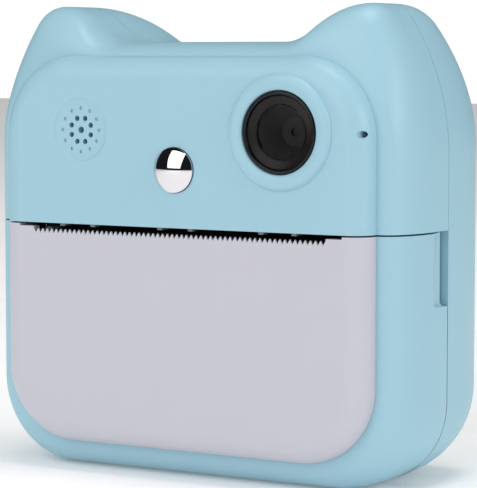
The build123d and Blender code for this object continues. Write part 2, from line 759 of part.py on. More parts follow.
# ---------------------------------------------------------------- door pieces
def door_shell():
    outer = front_bulge()
    land = pad_block(PLATE_SKIRT + FIT, PLATE_THICK + FIT)
    inner = front_bulge(WALL, INNER_STEPS)
    pocket = pad_block(PLATE_SKIRT + FIT + DOOR_WALL, DOOR_FRONT, PAD_RISE + WALL)
    top = SPLIT - DOOR_GAP
    with BuildPart() as shell:
        add(outer)
        add(land)
        add(inner, mode=Mode.SUBTRACT)
        add(pocket, mode=Mode.SUBTRACT)
        split(bisect_by=Plane.XY.offset(top), keep=Keep.BOTTOM)
        split(bisect_by=facing(SEAM - DOOR_GAP), keep=Keep.TOP)
        # the paper leaves over the edge of the front wall
        with BuildSketch(facing(PAD_RISE + WALL)):
            with Locations((0, top)):
                Rectangle(2 * MOUTH_HALF, 2 * (TOOTH_VALLEY_DROP + DOOR_GAP))
        extrude(amount=PAD_RISE + WALL, mode=Mode.SUBTRACT)
        # room for the gear on the platen
        with BuildSketch(across(GEAR_X2 - GEAR_GAP, *PLATEN)):
            Circle(MODULE * (PLATEN_TEETH / 2 + 1) + END_GAP)
        extrude(amount=GEAR_FACE + 2 * GEAR_GAP, mode=Mode.SUBTRACT)
        # round groove over the hinge barrel
        with BuildSketch(across(-HALF, SEAM, HINGE_R)):
            Circle(HINGE_R + HINGE_CLEAR)
        extrude(amount=2 * HALF, mode=Mode.SUBTRACT)
        for side in (1, -1):
            arm = HINGE_R + HINGE_CLEAR + WALL / 2
            with BuildSketch(across(side * KNUCKLE_X - KNUCKLE_WIDTH / 2, SEAM, HINGE_R)):
                Circle(HINGE_R)
                with Locations((-arm / 2, -HINGE_R / 2)):
                    Rectangle(arm, HINGE_R)
                Circle(PIN_R + FIT, mode=Mode.SUBTRACT)
            extrude(amount=KNUCKLE_WIDTH)
            # finger notch: a slope that runs into a deep slot at the rear edge
            floor_x = HALF - NOTCH_DEPTH
            back_x = floor_x - NOTCH_BACKING
            with BuildSketch(Plane.XY.offset(NOTCH_BOTTOM - NOTCH_BACKING)):
                with BuildLine():
                    Polyline(
                        (side * back_x, at(SEAM - DOOR_GAP)),
                        (side * (HALF - WALL / 2), at(SEAM - DOOR_GAP)),
                        (side * (HALF - WALL / 2), at(NOTCH_START - NOTCH_BACKING)),
                        (side * back_x, at(NOTCH_START)),
                        close=True,
                    )
                make_face()
            extrude(amount=top - NOTCH_BOTTOM + NOTCH_BACKING)
            with BuildSketch(Plane.XY.offset(NOTCH_BOTTOM)):
                with BuildLine():
                    Polyline(
                        (side * (HALF + WALL), at(SEAM)),
                        (side * floor_x, at(SEAM)),
                        (side * floor_x, at(NOTCH_DEEP)),
                        (side * (HALF - NOTCH_EDGE), at(NOTCH_START)),
                        (side * (HALF + WALL), at(NOTCH_START)),
                        close=True,
                    )
                make_face()
            extrude(amount=top - NOTCH_BOTTOM, mode=Mode.SUBTRACT)
            # lug that carries the platen bushing
            start = side * LUG_X if side > 0 else -LUG_X - LUG_WALL
            with BuildSketch(across(start, PLATEN_DEPTH, PLATEN_HEIGHT)):
                reach = PLATEN_DEPTH - DOOR_FRONT + DOOR_WALL / 2
                Circle(LUG_R)
                with Locations((-reach / 2, 0)):
                    Rectangle(reach, 2 * LUG_R)
                Circle(BUSHING_R + FIT, mode=Mode.SUBTRACT)
            extrude(amount=LUG_WALL)
    return shell


def door_plate():
    pad = rolled_pad()
    hollow = pad_block(PLATE_SKIRT, PLATE_THICK, PAD_RISE)
    pitch = 2 * TOOTH_HALF / TOOTH_COUNT
    tip = SPLIT - TOOTH_TIP_DROP
    valley = SPLIT - TOOTH_VALLEY_DROP
    with BuildPart() as plate:
        add(pad)
        add(hollow, mode=Mode.SUBTRACT)
        split(bisect_by=Plane.XY.offset(SPLIT - DOOR_GAP), keep=Keep.BOTTOM)
        with BuildSketch(facing(PLATE_THICK)):
            with Locations((0, SPLIT)):
                Rectangle(2 * MOUTH_HALF, 2 * MOUTH_DROP)
        extrude(amount=PLATE_THICK, mode=Mode.SUBTRACT)
        # serrated tear edge
        edge = [(-TOOTH_HALF, SPLIT), (-TOOTH_HALF, tip)]
        for tooth in range(TOOTH_COUNT):
            left = -TOOTH_HALF + tooth * pitch
            edge += [(left + pitch / 2, valley), (left + pitch, tip)]
        edge.append((TOOTH_HALF, SPLIT))
        with BuildSketch(facing(PLATE_THICK)):
            with BuildLine():
                Polyline(*edge, close=True)
            make_face()
        extrude(amount=PLATE_THICK, mode=Mode.SUBTRACT)
    return plate


# ---------------------------------------------------------------- lens, mirror, speaker, microphone
def turned(x, height, outline_points):
    """Solid turned about an axis along the depth, from (depth, radius) points."""
    with BuildPart() as solid:
        with BuildSketch(across(x, 0, height)):
            with BuildLine():
                Polyline(*outline_points, close=True)
            make_face()
        revolve(axis=Axis((x, 0, height), (0, 1, 0)))
    return solid


def lens_barrel():
    seat = WINDOW_FACE + WINDOW_THICK
    return turned(
        LENS_X,
        LENS_HEIGHT,
        [
            (-BARREL_PROUD, BARREL_R),
            (WALL, BARREL_R),
            (WALL, BARREL_FLANGE_R),
            (WALL + BARREL_FLANGE, BARREL_FLANGE_R),
            (WALL + BARREL_FLANGE, BARREL_R),
            (BARREL_LENGTH, BARREL_R),
            (BARREL_LENGTH, BARREL_BORE_R),
            (seat, BARREL_BORE_R),
            (seat, WINDOW_R),
            (-BARREL_PROUD, WINDOW_R),
        ],
    )


def lens_window():
    with BuildPart() as window:
        with BuildSketch(facing(WINDOW_FACE + WINDOW_THICK)):
            with Locations((LENS_X, LENS_HEIGHT)):
                Circle(WINDOW_R - FIT)
        extrude(amount=WINDOW_THICK)
    return window


def lens_retainer():
    """Stepped ring in front of the window."""
    return turned(
        LENS_X,
        LENS_HEIGHT,
        [
            (WINDOW_FACE, WINDOW_R - FIT),
            (WINDOW_FACE - RETAINER_THICK, WINDOW_R - FIT),
            (WINDOW_FACE, BARREL_BORE_R - RETAINER_LAP),
        ],
    )


def camera_module():
    with BuildPart() as module:
        with BuildSketch(facing(BARREL_LENGTH + BOARD_THICK)):
            with Locations((LENS_X, LENS_HEIGHT)):
                Rectangle(SENSOR_BOARD, SENSOR_BOARD)
        extrude(amount=BOARD_THICK)
        with BuildSketch(facing(BARREL_LENGTH)):
            with Locations((LENS_X, LENS_HEIGHT)):
                Rectangle(SENSOR_SIDE, SENSOR_SIDE)
        extrude(amount=SENSOR_HOLDER_DEEP)
        with BuildSketch(facing(BARREL_LENGTH)):
            with Locations((LENS_X, LENS_HEIGHT)):
                Circle(SENSOR_HOLDER_R)
        extrude(amount=BARREL_LENGTH - SENSOR_FACE)
        with BuildSketch(facing(SENSOR_FACE + SENSOR_LENS_R / 2)):
            with Locations((LENS_X, LENS_HEIGHT)):
                Circle(SENSOR_LENS_R)
        extrude(amount=SENSOR_LENS_R / 2, taper=SENSOR_CONE, mode=Mode.SUBTRACT)
    return module


def nose_mirror():
    """Convex mirror: a shallow dome on a short stub."""
    rise = NOSE_RISE - NOSE_EDGE
    dome = (rise**2 + NOSE_R**2) / (2 * rise)
    turn = asin(NOSE_R / dome) / 2
    with BuildPart() as mirror:
        with BuildSketch(across(0, 0, NOSE_HEIGHT)):
            with BuildLine():
                ThreePointArc(
                    (-NOSE_RISE, 0),
                    (dome * (1 - cos(turn)) - NOSE_RISE, dome * sin(turn)),
                    (-NOSE_EDGE, NOSE_R),
                )
                Polyline(
                    (-NOSE_EDGE, NOSE_R),
                    (NOSE_SEAT, NOSE_R),
                    (NOSE_SEAT, NOSE_R / 2),
                    (WALL + NOSE_STUB, NOSE_R / 2),
                    (WALL + NOSE_STUB, 0),
                    (-NOSE_RISE, 0),
                )
            make_face()
        revolve(axis=Axis((0, 0, NOSE_HEIGHT), (0, 1, 0)))
    return mirror


def speaker():
    """Round speaker with its magnet behind."""
    return turned(
        SPEAKER_X,
        SPEAKER_HEIGHT,
        [
            (WALL, 0),
            (WALL, SPEAKER_R),
            (WALL + SPEAKER_THICK / 3, SPEAKER_R),
            (WALL + SPEAKER_THICK / 3, MAGNET_R),
            (WALL + SPEAKER_THICK, MAGNET_R),
            (WALL + SPEAKER_THICK, 0),
        ],
    )


def microphone():
    with BuildPart() as capsule:
        with BuildSketch(facing(MIC_DEPTH + MIC_THICK)):
            with Locations((MIC_X, MIC_HEIGHT)):
                Circle(MIC_R)
        extrude(amount=MIC_THICK)
    return capsule


# ---------------------------------------------------------------- printing mechanism
def paper_guide():
    """Black bar behind the mouth's upper lip, with small ribs under it."""
    middle = at(WALL + GUIDE_LENGTH / 2)
    with BuildPart() as guide:
        with BuildSketch(Plane.XY.offset(SPLIT)):
            with Locations((0, middle)):
                Rectangle(2 * (MOUTH_HALF - SLIP), GUIDE_LENGTH)
        extrude(amount=GUIDE_THICK)
        with BuildSketch(Plane.XY.offset(SPLIT)):
            with Locations(*both_sides([(x, middle) for x in GUIDE_RIBS_X])):
                Rectangle(GUIDE_RIB_WIDTH, GUIDE_LENGTH - GUIDE_RIB_SHORT)
        extrude(amount=-GUIDE_RIB_DROP)
    return guide


def print_frame():
    """Steel frame: two side plates with open slots for the bushings and a wall behind the head."""
    front = PLATEN_DEPTH - FRAME_FRONT
    pivot = (SINK_FACE + SINK_THICK / 2, SINK_LOW + TAB / 2 + TAB_EDGE)
    # the door carries the bushings out along the tangent of its swing
    drop = SLOT_REACH * (SEAM - PLATEN_DEPTH) / (PLATEN_HEIGHT - HINGE_R)
    half = BUSHING_R + SLIP
    with BuildPart() as frame:
        for side in (1, -1):
            start = FRAME_X if side > 0 else -FRAME_END
            with BuildSketch(across(start, 0, 0)):
                with Locations(((front + WEB_BACK) / 2, (FRAME_LOW + FRAME_HIGH) / 2)):
                    Rectangle(WEB_BACK - front, FRAME_HIGH - FRAME_LOW)
                if side > 0:
                    with Locations(MOTOR):
                        Circle(MOTOR_R + MOTOR_EDGE)
                        Circle(MOTOR_SHAFT_R + MOTOR_EDGE, mode=Mode.SUBTRACT)
                with Locations(PLATEN):
                    Circle(half, mode=Mode.SUBTRACT)
                with Locations(pivot):
                    Rectangle(SINK_THICK + 2 * SLIP, TAB + 2 * SLIP, mode=Mode.SUBTRACT)
            extrude(amount=FRAME_THICK)
            # mouth of the slot
            with BuildSketch(across(start, PLATEN_DEPTH, PLATEN_HEIGHT)):
                with BuildLine():
                    Polyline(
                        (0, half),
                        (-SLOT_REACH, half - drop + SLOT_FLARE),
                        (-SLOT_REACH, -half - drop - SLOT_FLARE),
                        (0, -half),
                        close=True,
                    )
                make_face()
            extrude(amount=FRAME_THICK, mode=Mode.SUBTRACT)
        with BuildSketch(facing(FRAME_WALL + BOARD_THICK)):
            with Locations((0, (SINK_LOW + FRAME_HIGH) / 2)):
                Rectangle(2 * FRAME_X, FRAME_HIGH - SINK_LOW)
        extrude(amount=BOARD_THICK)
    return frame


def thermal_head():
    with BuildPart() as head:
        with BuildSketch(facing(SINK_FACE)):
            with Locations((0, (HEAD_LOW + HEAD_HIGH) / 2)):
                Rectangle(PAPER_WIDTH + 2 * HEAD_OVER, HEAD_HIGH - HEAD_LOW)
        extrude(amount=HEAD_THICK)
    return head


def heat_sink():
    """Aluminium plate behind the head, with a tab at each end that sits in the frame."""
    with BuildPart() as sink:
        with BuildSketch(facing(SINK_BACK)):
            with Locations((0, (SINK_LOW + SINK_HIGH) / 2)):
                Rectangle(2 * (FRAME_X - END_GAP), SINK_HIGH - SINK_LOW)
            with Locations((0, SINK_LOW + TAB / 2 + TAB_EDGE)):
                Rectangle(2 * FRAME_END, TAB)
        extrude(amount=SINK_THICK)
    return sink


def head_spring():
    """Leaf spring between the heat sink and the frame wall."""
    sheet = SPRING_SHEET
    rear = FRAME_WALL - sheet / 2
    front = SINK_BACK + sheet / 2
    top = SINK_HIGH - SPRING_TOP
    touch = top - SPRING_FLAT - SPRING_FALL
    with BuildPart() as spring:
        with BuildSketch(across(-SPRING_HALF, 0, 0)):
            with BuildLine() as bend:
                FilletPolyline(
                    (rear, top),
                    (rear, top - SPRING_FLAT),
                    (front, touch),
                    (front + SPRING_CURL[0], touch - SPRING_CURL[1]),
                    radius=SHEET_BEND,
                )
            trace(bend.line, line_width=sheet)
        extrude(amount=2 * SPRING_HALF)
    return spring


def head_ribbon():
    """Flat cable from the head over the frame wall to its connector on the main board."""
    front = SINK_FACE - RIBBON_THICK / 2
    over = FRAME_HIGH + RIBBON_RISE
    rear = FRAME_WALL + RIBBON_BEHIND
    with BuildPart() as ribbon:
        with BuildSketch(across(RIBBON_X - RIBBON_WIDTH / 2, 0, 0)):
            with BuildLine() as path:
                FilletPolyline(
                    (front, HEAD_HIGH),
                    (front, over),
                    (rear, over),
                    (rear, RIBBON_HEIGHT),
                    (BOARD_FRONT - RIBBON_PLUG, RIBBON_HEIGHT),
                    radius=SHEET_BEND,
                )
            trace(path.line, line_width=RIBBON_THICK)
            with Locations((BOARD_FRONT - RIBBON_PLUG / 2, RIBBON_HEIGHT)):
                Rectangle(RIBBON_PLUG, RIBBON_PLUG_TALL)
        extrude(amount=RIBBON_WIDTH)
    return ribbon


def platen_roller():
    with BuildPart() as rubber:
        with BuildSketch(across(-PLATEN_HALF, *PLATEN)):
            Circle(PLATEN_R)
            Circle(PLATEN_SHAFT_R, mode=Mode.SUBTRACT)
        extrude(amount=2 * PLATEN_HALF)
    return rubber


def platen_shaft():
    end = FRAME_END + SHAFT_END
    with BuildPart() as shaft:
        with BuildSketch(across(-end, *PLATEN)):
            Circle(PLATEN_SHAFT_R)
        extrude(amount=end + GEAR_END)
    return shaft


def platen_bushings():
    """Pair of sleeves that sit in the door's lugs and reach out through the frame."""
    start = PLATEN_HALF + END_GAP
    with BuildPart() as bushings:
        for side in (1, -1):
            with BuildSketch(across(side * start, *PLATEN)):
                Circle(BUSHING_R)
                Circle(PLATEN_SHAFT_R + FIT, mode=Mode.SUBTRACT)
            extrude(amount=side * (FRAME_END + SLIP - start))
    return bushings


def gear_rim(teeth, phase):
    """Involute gear outline, its first tooth at phase degrees, as a face in the current sketch."""
    pitch = MODULE * teeth / 2
    base = pitch * cos(radians(PRESSURE_ANGLE))
    root = pitch - 1.2 * MODULE
    radii = (root, pitch, pitch + 0.9 * MODULE)

    def roll(radius):
        angle = acos(min(1, base / radius))
        return tan(angle) - angle

    def half_tooth(radius):
        return pi / (2 * teeth) - BACKLASH / (2 * pitch) + roll(pitch) - roll(radius)

    points = []
    for tooth in range(teeth):
        middle = radians(phase) + 2 * pi * tooth / teeth
        rising = [(radius, middle - half_tooth(radius)) for radius in radii]
        falling = [(radius, middle + half_tooth(radius)) for radius in reversed(radii)]
        points += [(radius * cos(angle), radius * sin(angle)) for radius, angle in rising + falling]
    with BuildLine() as rim:
        Polyline(*points, close=True)
    make_face(rim.edges())


def gear(teeth, phase, centre, bore, start, end):
    with BuildPart() as wheel:
        with BuildSketch(across(start, *centre)):
            gear_rim(teeth, phase)
            Circle(bore, mode=Mode.SUBTRACT)
        extrude(amount=end - start)
    return wheel


def drive_gear():
    """Compound gear: a wide wheel that the motor turns and a small one beside it."""
    with BuildPart() as wheel:
        with BuildSketch(across(GEAR_X, *DRIVE)):
            gear_rim(WHEEL_TEETH, WHEEL_PHASE)
        extrude(amount=GEAR_FACE)
        with BuildSketch(across(GEAR_X, *DRIVE)):
            gear_rim(DRIVE_TEETH, DRIVE_PHASE)
        extrude(amount=GEAR_END - GEAR_X)
        with BuildSketch(across(GEAR_X, *DRIVE)):
            Circle(AXLE_R + FIT)
        extrude(amount=GEAR_END - GEAR_X, mode=Mode.SUBTRACT)
    return wheel


def gear_axles():
    with BuildPart() as axles:
        for spot in (IDLER, DRIVE):
            with BuildSketch(across(FRAME_END, *spot)):
                Circle(AXLE_R)
            extrude(amount=GEAR_END - FRAME_END)
    return axles


def motor_can():
    depth, height = MOTOR
    with BuildPart() as can:
        with BuildSketch(across(FRAME_X - MOTOR_LENGTH, *MOTOR)):
            Circle(MOTOR_R)
        extrude(amount=MOTOR_LENGTH)
        with BuildSketch(across(FRAME_X - MOTOR_LENGTH / 2, *MOTOR)):
            Circle(MOTOR_SHAFT_R + FIT)
        extrude(amount=MOTOR_LENGTH / 2, mode=Mode.SUBTRACT)
    return can


def motor_shaft():
    with BuildPart() as shaft:
        with BuildSketch(across(FRAME_X - MOTOR_LENGTH / 2 + FIT, *MOTOR)):
            Circle(MOTOR_SHAFT_R)
        extrude(amount=MOTOR_LENGTH / 2 - FIT + GEAR_X + GEAR_FACE - FRAME_X)
    return shaft


# ---------------------------------------------------------------- paper
def paper_core():
    with BuildPart() as core:
        with BuildSketch(across(-PAPER_WIDTH / 2, ROLL_DEPTH, ROLL_HEIGHT)):
            Circle(CORE_R)
            Circle(CORE_BORE_R, mode=Mode.SUBTRACT)
        extrude(amount=PAPER_WIDTH)
    return core


def paper_roll():
    with BuildPart() as roll:
        with BuildSketch(across(-PAPER_WIDTH / 2, ROLL_DEPTH, ROLL_HEIGHT)):
            Circle(ROLL_R)
            Circle(CORE_R, mode=Mode.SUBTRACT)
        extrude(amount=PAPER_WIDTH)
    return roll


def paper_cradle():
    """Trough under the roll, two cheeks that carry the print frame, and a plate on the rear posts."""
    edge = FRAME_X - FIT
    foot = WALL + CRADLE_LIFT
    with BuildPart() as cradle:
        with BuildSketch(across(-edge, ROLL_DEPTH, ROLL_HEIGHT)):
            with BuildLine():
                span = CRADLE_TO - CRADLE_FROM
                far = CenterArc((0, 0), CRADLE_OUT, CRADLE_FROM, span)
                near = CenterArc((0, 0), CRADLE_IN, CRADLE_FROM, span)
                Line(far @ 0, near @ 0)
                Line(far @ 1, near @ 1)
            make_face()
        extrude(amount=2 * edge)
        with BuildSketch(facing(CRADLE_PLATE)):
            with Locations((0, (CRADLE_PLATE_HIGH + foot) / 2)):
                Rectangle(2 * edge, CRADLE_PLATE_HIGH - foot)
        extrude(amount=CRADLE_WALL)
        for side in (1, -1):
            start = CHEEK_X if side > 0 else -edge
            with BuildSketch(across(start, 0, 0)):
                with Locations((ROLL_DEPTH, ROLL_HEIGHT)):
                    Circle(CRADLE_OUT)
                with Locations((ROLL_DEPTH, ROLL_HEIGHT + 2 * CRADLE_OUT - CHEEK_TOP)):
                    Rectangle(2 * CRADLE_OUT, 2 * CRADLE_OUT, mode=Mode.SUBTRACT)
                with Locations(((WEB_FRONT + CRADLE_PLATE) / 2, (ROLL_HEIGHT + WEB_HIGH) / 2)):
                    Rectangle(CRADLE_PLATE - WEB_FRONT, WEB_HIGH - ROLL_HEIGHT)
            extrude(amount=edge - CHEEK_X)
    return cradle


# ---------------------------------------------------------------- electronics
def main_board():
    with BuildPart() as board:
        with BuildSketch(facing(BOARD_BACK)):
            with Locations((0, (BOARD_LOW + BOARD_HIGH) / 2)):
                Rectangle(BOARD_WIDTH, BOARD_HIGH - BOARD_LOW)
            with Locations((-(PORT_X + POST_X) / 2, (TAB_LOW + TAB_HIGH) / 2)):
                Rectangle(PORT_X - POST_X, TAB_HIGH - TAB_LOW)
        extrude(amount=BOARD_THICK)
        with BuildSketch(facing(BOARD_FRONT)):
            with Locations(CHIP_SPOT):
                Rectangle(CHIP_SIDE, CHIP_SIDE)
            with Locations(MEMORY_SPOT):
                Rectangle(*MEMORY_CHIP)
        extrude(amount=CHIP_THICK)
    return board


def battery():
    with BuildPart() as cell:
        with BuildSketch(facing(BOARD_FRONT)):
            with Locations((BATTERY_X, (BATTERY_LOW + BATTERY_HIGH) / 2)):
                Rectangle(BATTERY_WIDTH, BATTERY_HIGH - BATTERY_LOW)
        extrude(amount=BATTERY_THICK)
    return cell


def lcd_module():
    with BuildPart() as screen:
        with BuildSketch(facing(REAR_FACE)):
            with Locations((0, SCREEN_HEIGHT)):
                Rectangle(LCD_WIDTH, LCD_TALL)
        extrude(amount=LCD_THICK)
    return screen


def screen_window():
    with BuildPart() as window:
        with BuildSketch(facing(BODY_DEPTH)):
            with Locations((0, SCREEN_HEIGHT)):
                RectangleRounded(SCREEN_WIDTH, SCREEN_TALL, GLASS_CORNER)
        extrude(amount=SCREEN_GLASS)
    return window


def key_board():
    with BuildPart() as board:
        with BuildSketch(facing(KEY_BOARD_BACK)):
            with Locations((0, (KEY_BOARD_LOW + KEY_BOARD_HIGH) / 2)):
                Rectangle(KEY_BOARD_WIDTH, KEY_BOARD_HIGH - KEY_BOARD_LOW)
        extrude(amount=BOARD_THICK)
    return board


def tact_switches():
    with BuildPart() as switches:
        with BuildSketch(facing(SWITCH_FACE)):
            with Locations(*[key_centre(name) for name in REAR_KEYS]):
                Rectangle(SWITCH_SIDE, SWITCH_SIDE)
        extrude(amount=SWITCH_THICK)
    return switches


def shutter_switch():
    middle = at(BOARD_FRONT - SHUTTER_SWITCH_DEEP / 2)
    low = BOARD_HIGH - SHUTTER_SWITCH_TALL
    with BuildPart() as switch:
        with BuildSketch(Plane.XY.offset(low)):
            with Locations((0, middle)):
                Rectangle(SHUTTER_SWITCH_WIDTH, SHUTTER_SWITCH_DEEP)
        extrude(amount=SHUTTER_SWITCH_TALL)
        with BuildSketch(Plane.XY.offset(low)):
            with Locations((0, at(SHUTTER_DEPTH))):
                Rectangle(2 * PLUNGER_R, 2 * PLUNGER_R)
        extrude(amount=PLUNGER_TOP - low)
    return switch


def rear_key(name):
    """A rear key: cap through the wall, flange behind it and a stem over its switch."""
    spot = key_centre(name)
    with BuildPart() as key:
        with BuildSketch(facing(BODY_DEPTH + BUTTON_RISE)):
            key_shape(name)
        extrude(amount=BODY_DEPTH + BUTTON_RISE - FLANGE_BACK)
        with BuildSketch(facing(FLANGE_BACK)):
            key_shape(name, FLANGE_EDGE)
        extrude(amount=BUTTON_FLANGE)
        with BuildSketch(facing(FLANGE_BACK)):
            with Locations(spot):
                Rectangle(2 * STEM_R, 2 * STEM_R)
        extrude(amount=FLANGE_BACK - STEM_END)
    return key


def shutter_button():
    with BuildPart() as key:
        with BuildSketch(Plane.XY.offset(SHUTTER_FLANGE)):
            with Locations((0, at(SHUTTER_DEPTH))):
                Circle(SHUTTER_R)
        extrude(amount=FLAT_TOP - SHUTTER_SINK - SHUTTER_FLANGE)
        with BuildSketch(Plane.XY.offset(SHUTTER_FLANGE)):
            with Locations((0, at(SHUTTER_DEPTH))):
                Circle(SHUTTER_R + FLANGE_EDGE)
        extrude(amount=-BUTTON_FLANGE)
        with BuildSketch(Plane.XY.offset(SHUTTER_FLANGE)):
            with Locations((0, at(SHUTTER_DEPTH))):
                Rectangle(2 * STEM_R, 2 * STEM_R)
        extrude(amount=SHUTTER_STEM_END - SHUTTER_FLANGE)
    return key


def usb_socket():
    middle = BOARD_BACK + USB_THICK / 2
    with BuildPart() as socket:
        with BuildSketch(across(-PORT_X, middle, USB_HEIGHT)):
            SlotOverall(USB_WIDTH, USB_THICK, rotation=90)
        extrude(amount=USB_LENGTH)
        with BuildSketch(across(-PORT_X, middle, USB_HEIGHT)):
            SlotOverall(USB_WIDTH - 2 * USB_SHEET, USB_THICK - 2 * USB_SHEET, rotation=90)
        extrude(amount=USB_LENGTH - USB_BACK, mode=Mode.SUBTRACT)
        with BuildSketch(across(-PORT_X + TONGUE_SINK, middle, USB_HEIGHT)):
            Rectangle(TONGUE_THICK, TONGUE_WIDTH)
        extrude(amount=USB_LENGTH - USB_BACK / 2 - TONGUE_SINK)
    return socket


def card_socket():
    low = CARD_DEPTH - CARD_THICK / 2 - CARD_FIT - SOCKET_WALL
    end = CARD_END + CARD_FIT + SOCKET_WALL
    with BuildPart() as socket:
        with BuildSketch(across(-PORT_X, (low + BOARD_FRONT) / 2, CARD_HEIGHT)):
            Rectangle(BOARD_FRONT - low, CARD_WIDTH + 2 * (CARD_FIT + SOCKET_WALL))
        extrude(amount=PORT_X + end)
        with BuildSketch(across(-PORT_X, CARD_DEPTH, CARD_HEIGHT)):
            Rectangle(CARD_THICK + 2 * CARD_FIT, CARD_WIDTH + 2 * CARD_FIT)
        extrude(amount=PORT_X + CARD_END + CARD_FIT, mode=Mode.SUBTRACT)
    return socket


def memory_card():
    with BuildPart() as card:
        with BuildSketch(across(CARD_END - CARD_LENGTH, CARD_DEPTH, CARD_HEIGHT)):
            Rectangle(CARD_THICK, CARD_WIDTH)
        extrude(amount=CARD_LENGTH)
        chamfer(card.edges().filter_by(Axis.Y).sort_by(Axis.X)[-2:], CARD_CORNER)
    return card


def write(piece, name):
    """Label a piece and write it as parts/name.step."""
    piece.part.label = name
    export_step(piece.part, f"parts/{name}.step")


os.makedirs("parts", exist_ok=True)
for make in (
    front_shell,
    rear_shell,
    hinge_pin,
    door_shell,
    door_plate,
    lens_barrel,
    lens_window,
    lens_retainer,
    camera_module,
    nose_mirror,
    speaker,
    microphone,
    paper_guide,
    print_frame,
    thermal_head,
    heat_sink,
    head_spring,
    head_ribbon,
    platen_roller,
    platen_shaft,
    platen_bushings,
    drive_gear,
    gear_axles,
    motor_can,
    motor_shaft,
    paper_core,
    paper_roll,
    paper_cradle,
    main_board,
    battery,
    lcd_module,
    screen_window,
    key_board,
    tact_switches,
    shutter_switch,
    shutter_button,
    usb_socket,
    card_socket,
    memory_card,
):
    write(make(), make.__name__)
for name in REAR_KEYS:
    write(rear_key(name), name)
write(
    gear(PLATEN_TEETH, PLATEN_PHASE, PLATEN, PLATEN_SHAFT_R, GEAR_X2, GEAR_END),
    "platen_gear",
)
write(
    gear(IDLER_TEETH, IDLER_PHASE, IDLER, AXLE_R + FIT, GEAR_X2, GEAR_END),
    "idler_gear",
)
write(
    gear(PINION_TEETH, PINION_PHASE, MOTOR, MOTOR_SHAFT_R, GEAR_X, GEAR_X + GEAR_FACE),
    "motor_pinion",
)
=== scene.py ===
import json
from math import asin, atan2, cos, pi, radians, sin

import bmesh
import bpy
from mathutils import Matrix, Vector


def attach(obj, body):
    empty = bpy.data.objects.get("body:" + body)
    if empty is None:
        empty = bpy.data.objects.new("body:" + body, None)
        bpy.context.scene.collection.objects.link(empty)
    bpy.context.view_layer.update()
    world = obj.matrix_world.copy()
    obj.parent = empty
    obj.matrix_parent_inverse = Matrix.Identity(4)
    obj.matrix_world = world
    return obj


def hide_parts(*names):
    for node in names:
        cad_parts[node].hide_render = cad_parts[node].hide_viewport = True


# Looks of an instant-print camera for children. Metres; the front faces -Y and Z is up.

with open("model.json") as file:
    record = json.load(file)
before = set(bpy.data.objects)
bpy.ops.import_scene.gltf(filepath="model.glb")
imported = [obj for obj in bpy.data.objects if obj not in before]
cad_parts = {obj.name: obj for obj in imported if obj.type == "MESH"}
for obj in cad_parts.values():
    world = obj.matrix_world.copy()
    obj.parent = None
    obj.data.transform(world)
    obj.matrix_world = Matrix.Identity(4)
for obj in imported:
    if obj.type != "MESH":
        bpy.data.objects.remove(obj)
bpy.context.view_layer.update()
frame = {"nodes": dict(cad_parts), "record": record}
nodes = frame["nodes"]

MM = 0.001
MIDDLE = 19.35  # depth of the origin behind the flat front face
SMOOTH_LIMIT = 38.0  # edges flatter than this are shaded smooth, degrees
WELD = 0.0005  # corners nearer than this are one, in millimetres
NO_AREA = 1e-14  # faces smaller than this are flat leftovers, in square metres
NEARLY = 1e-6  # the same place, in metres
FAR = 60  # past every side of the housing, for cutters, in millimetres
SIDES = (1, -1)

# Housing, in millimetres
HALF = 44.0
EAR_TOP = 85.4
FLAT_TOP = 78.7
BODY_DEPTH = 39.7
SEAM = 20.4
WALL = 2.0
CORNER = 15.2
EAR_X = 32.3
EAR_START = 58.6
VALLEY_X = 15.3
EAR_TIP_R = 5.0
PAD_TIP_R = 10.5
PAD_HALF = 38.0
PAD_BOTTOM = 5.1
PAD_TOP = 76.2
PAD_RISE = 4.4
PAD_ROLL = 4.3
PAD_CORNER = 14.0
PAD_SHOULDER = 24.0
PAD_SIDE_TOP = 62.1
PAD_VALLEY_X = 18.0
LOW_FULL = 12.9
TOP_FULL = 14.5
BACK_START = 21.9
BULGE_POWER = 2.5
TOP_POWER = 2.6
BACK_POWER = 2.2
SPLIT = 45.7
DOOR_GAP = 0.3
SEAM_GROOVE = 0.12
RIM = 1.65
MOUTH_HALF = 33.6
TEETH = 61
TEETH_HALF = 30.5
TOOTH_TIP = SPLIT - 1.05
TOOTH_VALLEY = SPLIT - 1.9
NOTCH_FOOT = 32.4
HINGE_HEIGHT = 1.6
KNUCKLES_X = (-15, 15)

# Places on the front, the back, the top and the side: across or in depth, then height
LENS = (21.5, 63.0)
LENS_BORE = 7.3
LENS_GLASS = 4.9
NOSE = (0.0, 56.0)
NOSE_RADIUS = 4.0
NOSE_RISE = 1.4
NOSE_STEM = 2.0
GRILLE = (-20.0, 62.8)
MIC = (36.8, 62.9)
SCREEN = (0.0, 54.5)
SHUTTER_DEPTH = 28.0
USB = (34.15, 49.0)
CARD = (28.9, 49.0)
KEYS_HEIGHT = 20.5
KEY_GAP = 0.12
ROUND_KEYS = {
    "ok_button": (0.0, KEYS_HEIGHT, 4.0),
    "power_button": (24.5, 26.5, 3.4),
    "mode_button": (24.5, 14.5, 3.4),
    "print_button": (-24.5, 26.5, 3.4),
    "gallery_button": (-24.5, 14.5, 3.4),
}
ARROW_KEYS = {"up_button": 90, "right_button": 180, "down_button": 270, "left_button": 0}
CASE_SCREWS = ((33.0, 75.0), (36.5, 59.0))
BOSS_FRONTS = (9.0, 6.0)
SCREW_SEAT = 29.0

SHELL_BLUE = (0.318, 0.538, 0.634)
PLATE_LAVENDER = (0.522, 0.518, 0.580)
UNEVENNESS = 60.0  # scale of the broad patches of colour and gloss, per metre
DULL = {"Specular IOR Level": 0.3}
DULLER = {"Specular IOR Level": 0.22}
CLEAR = {"Transmission Weight": 1.0}


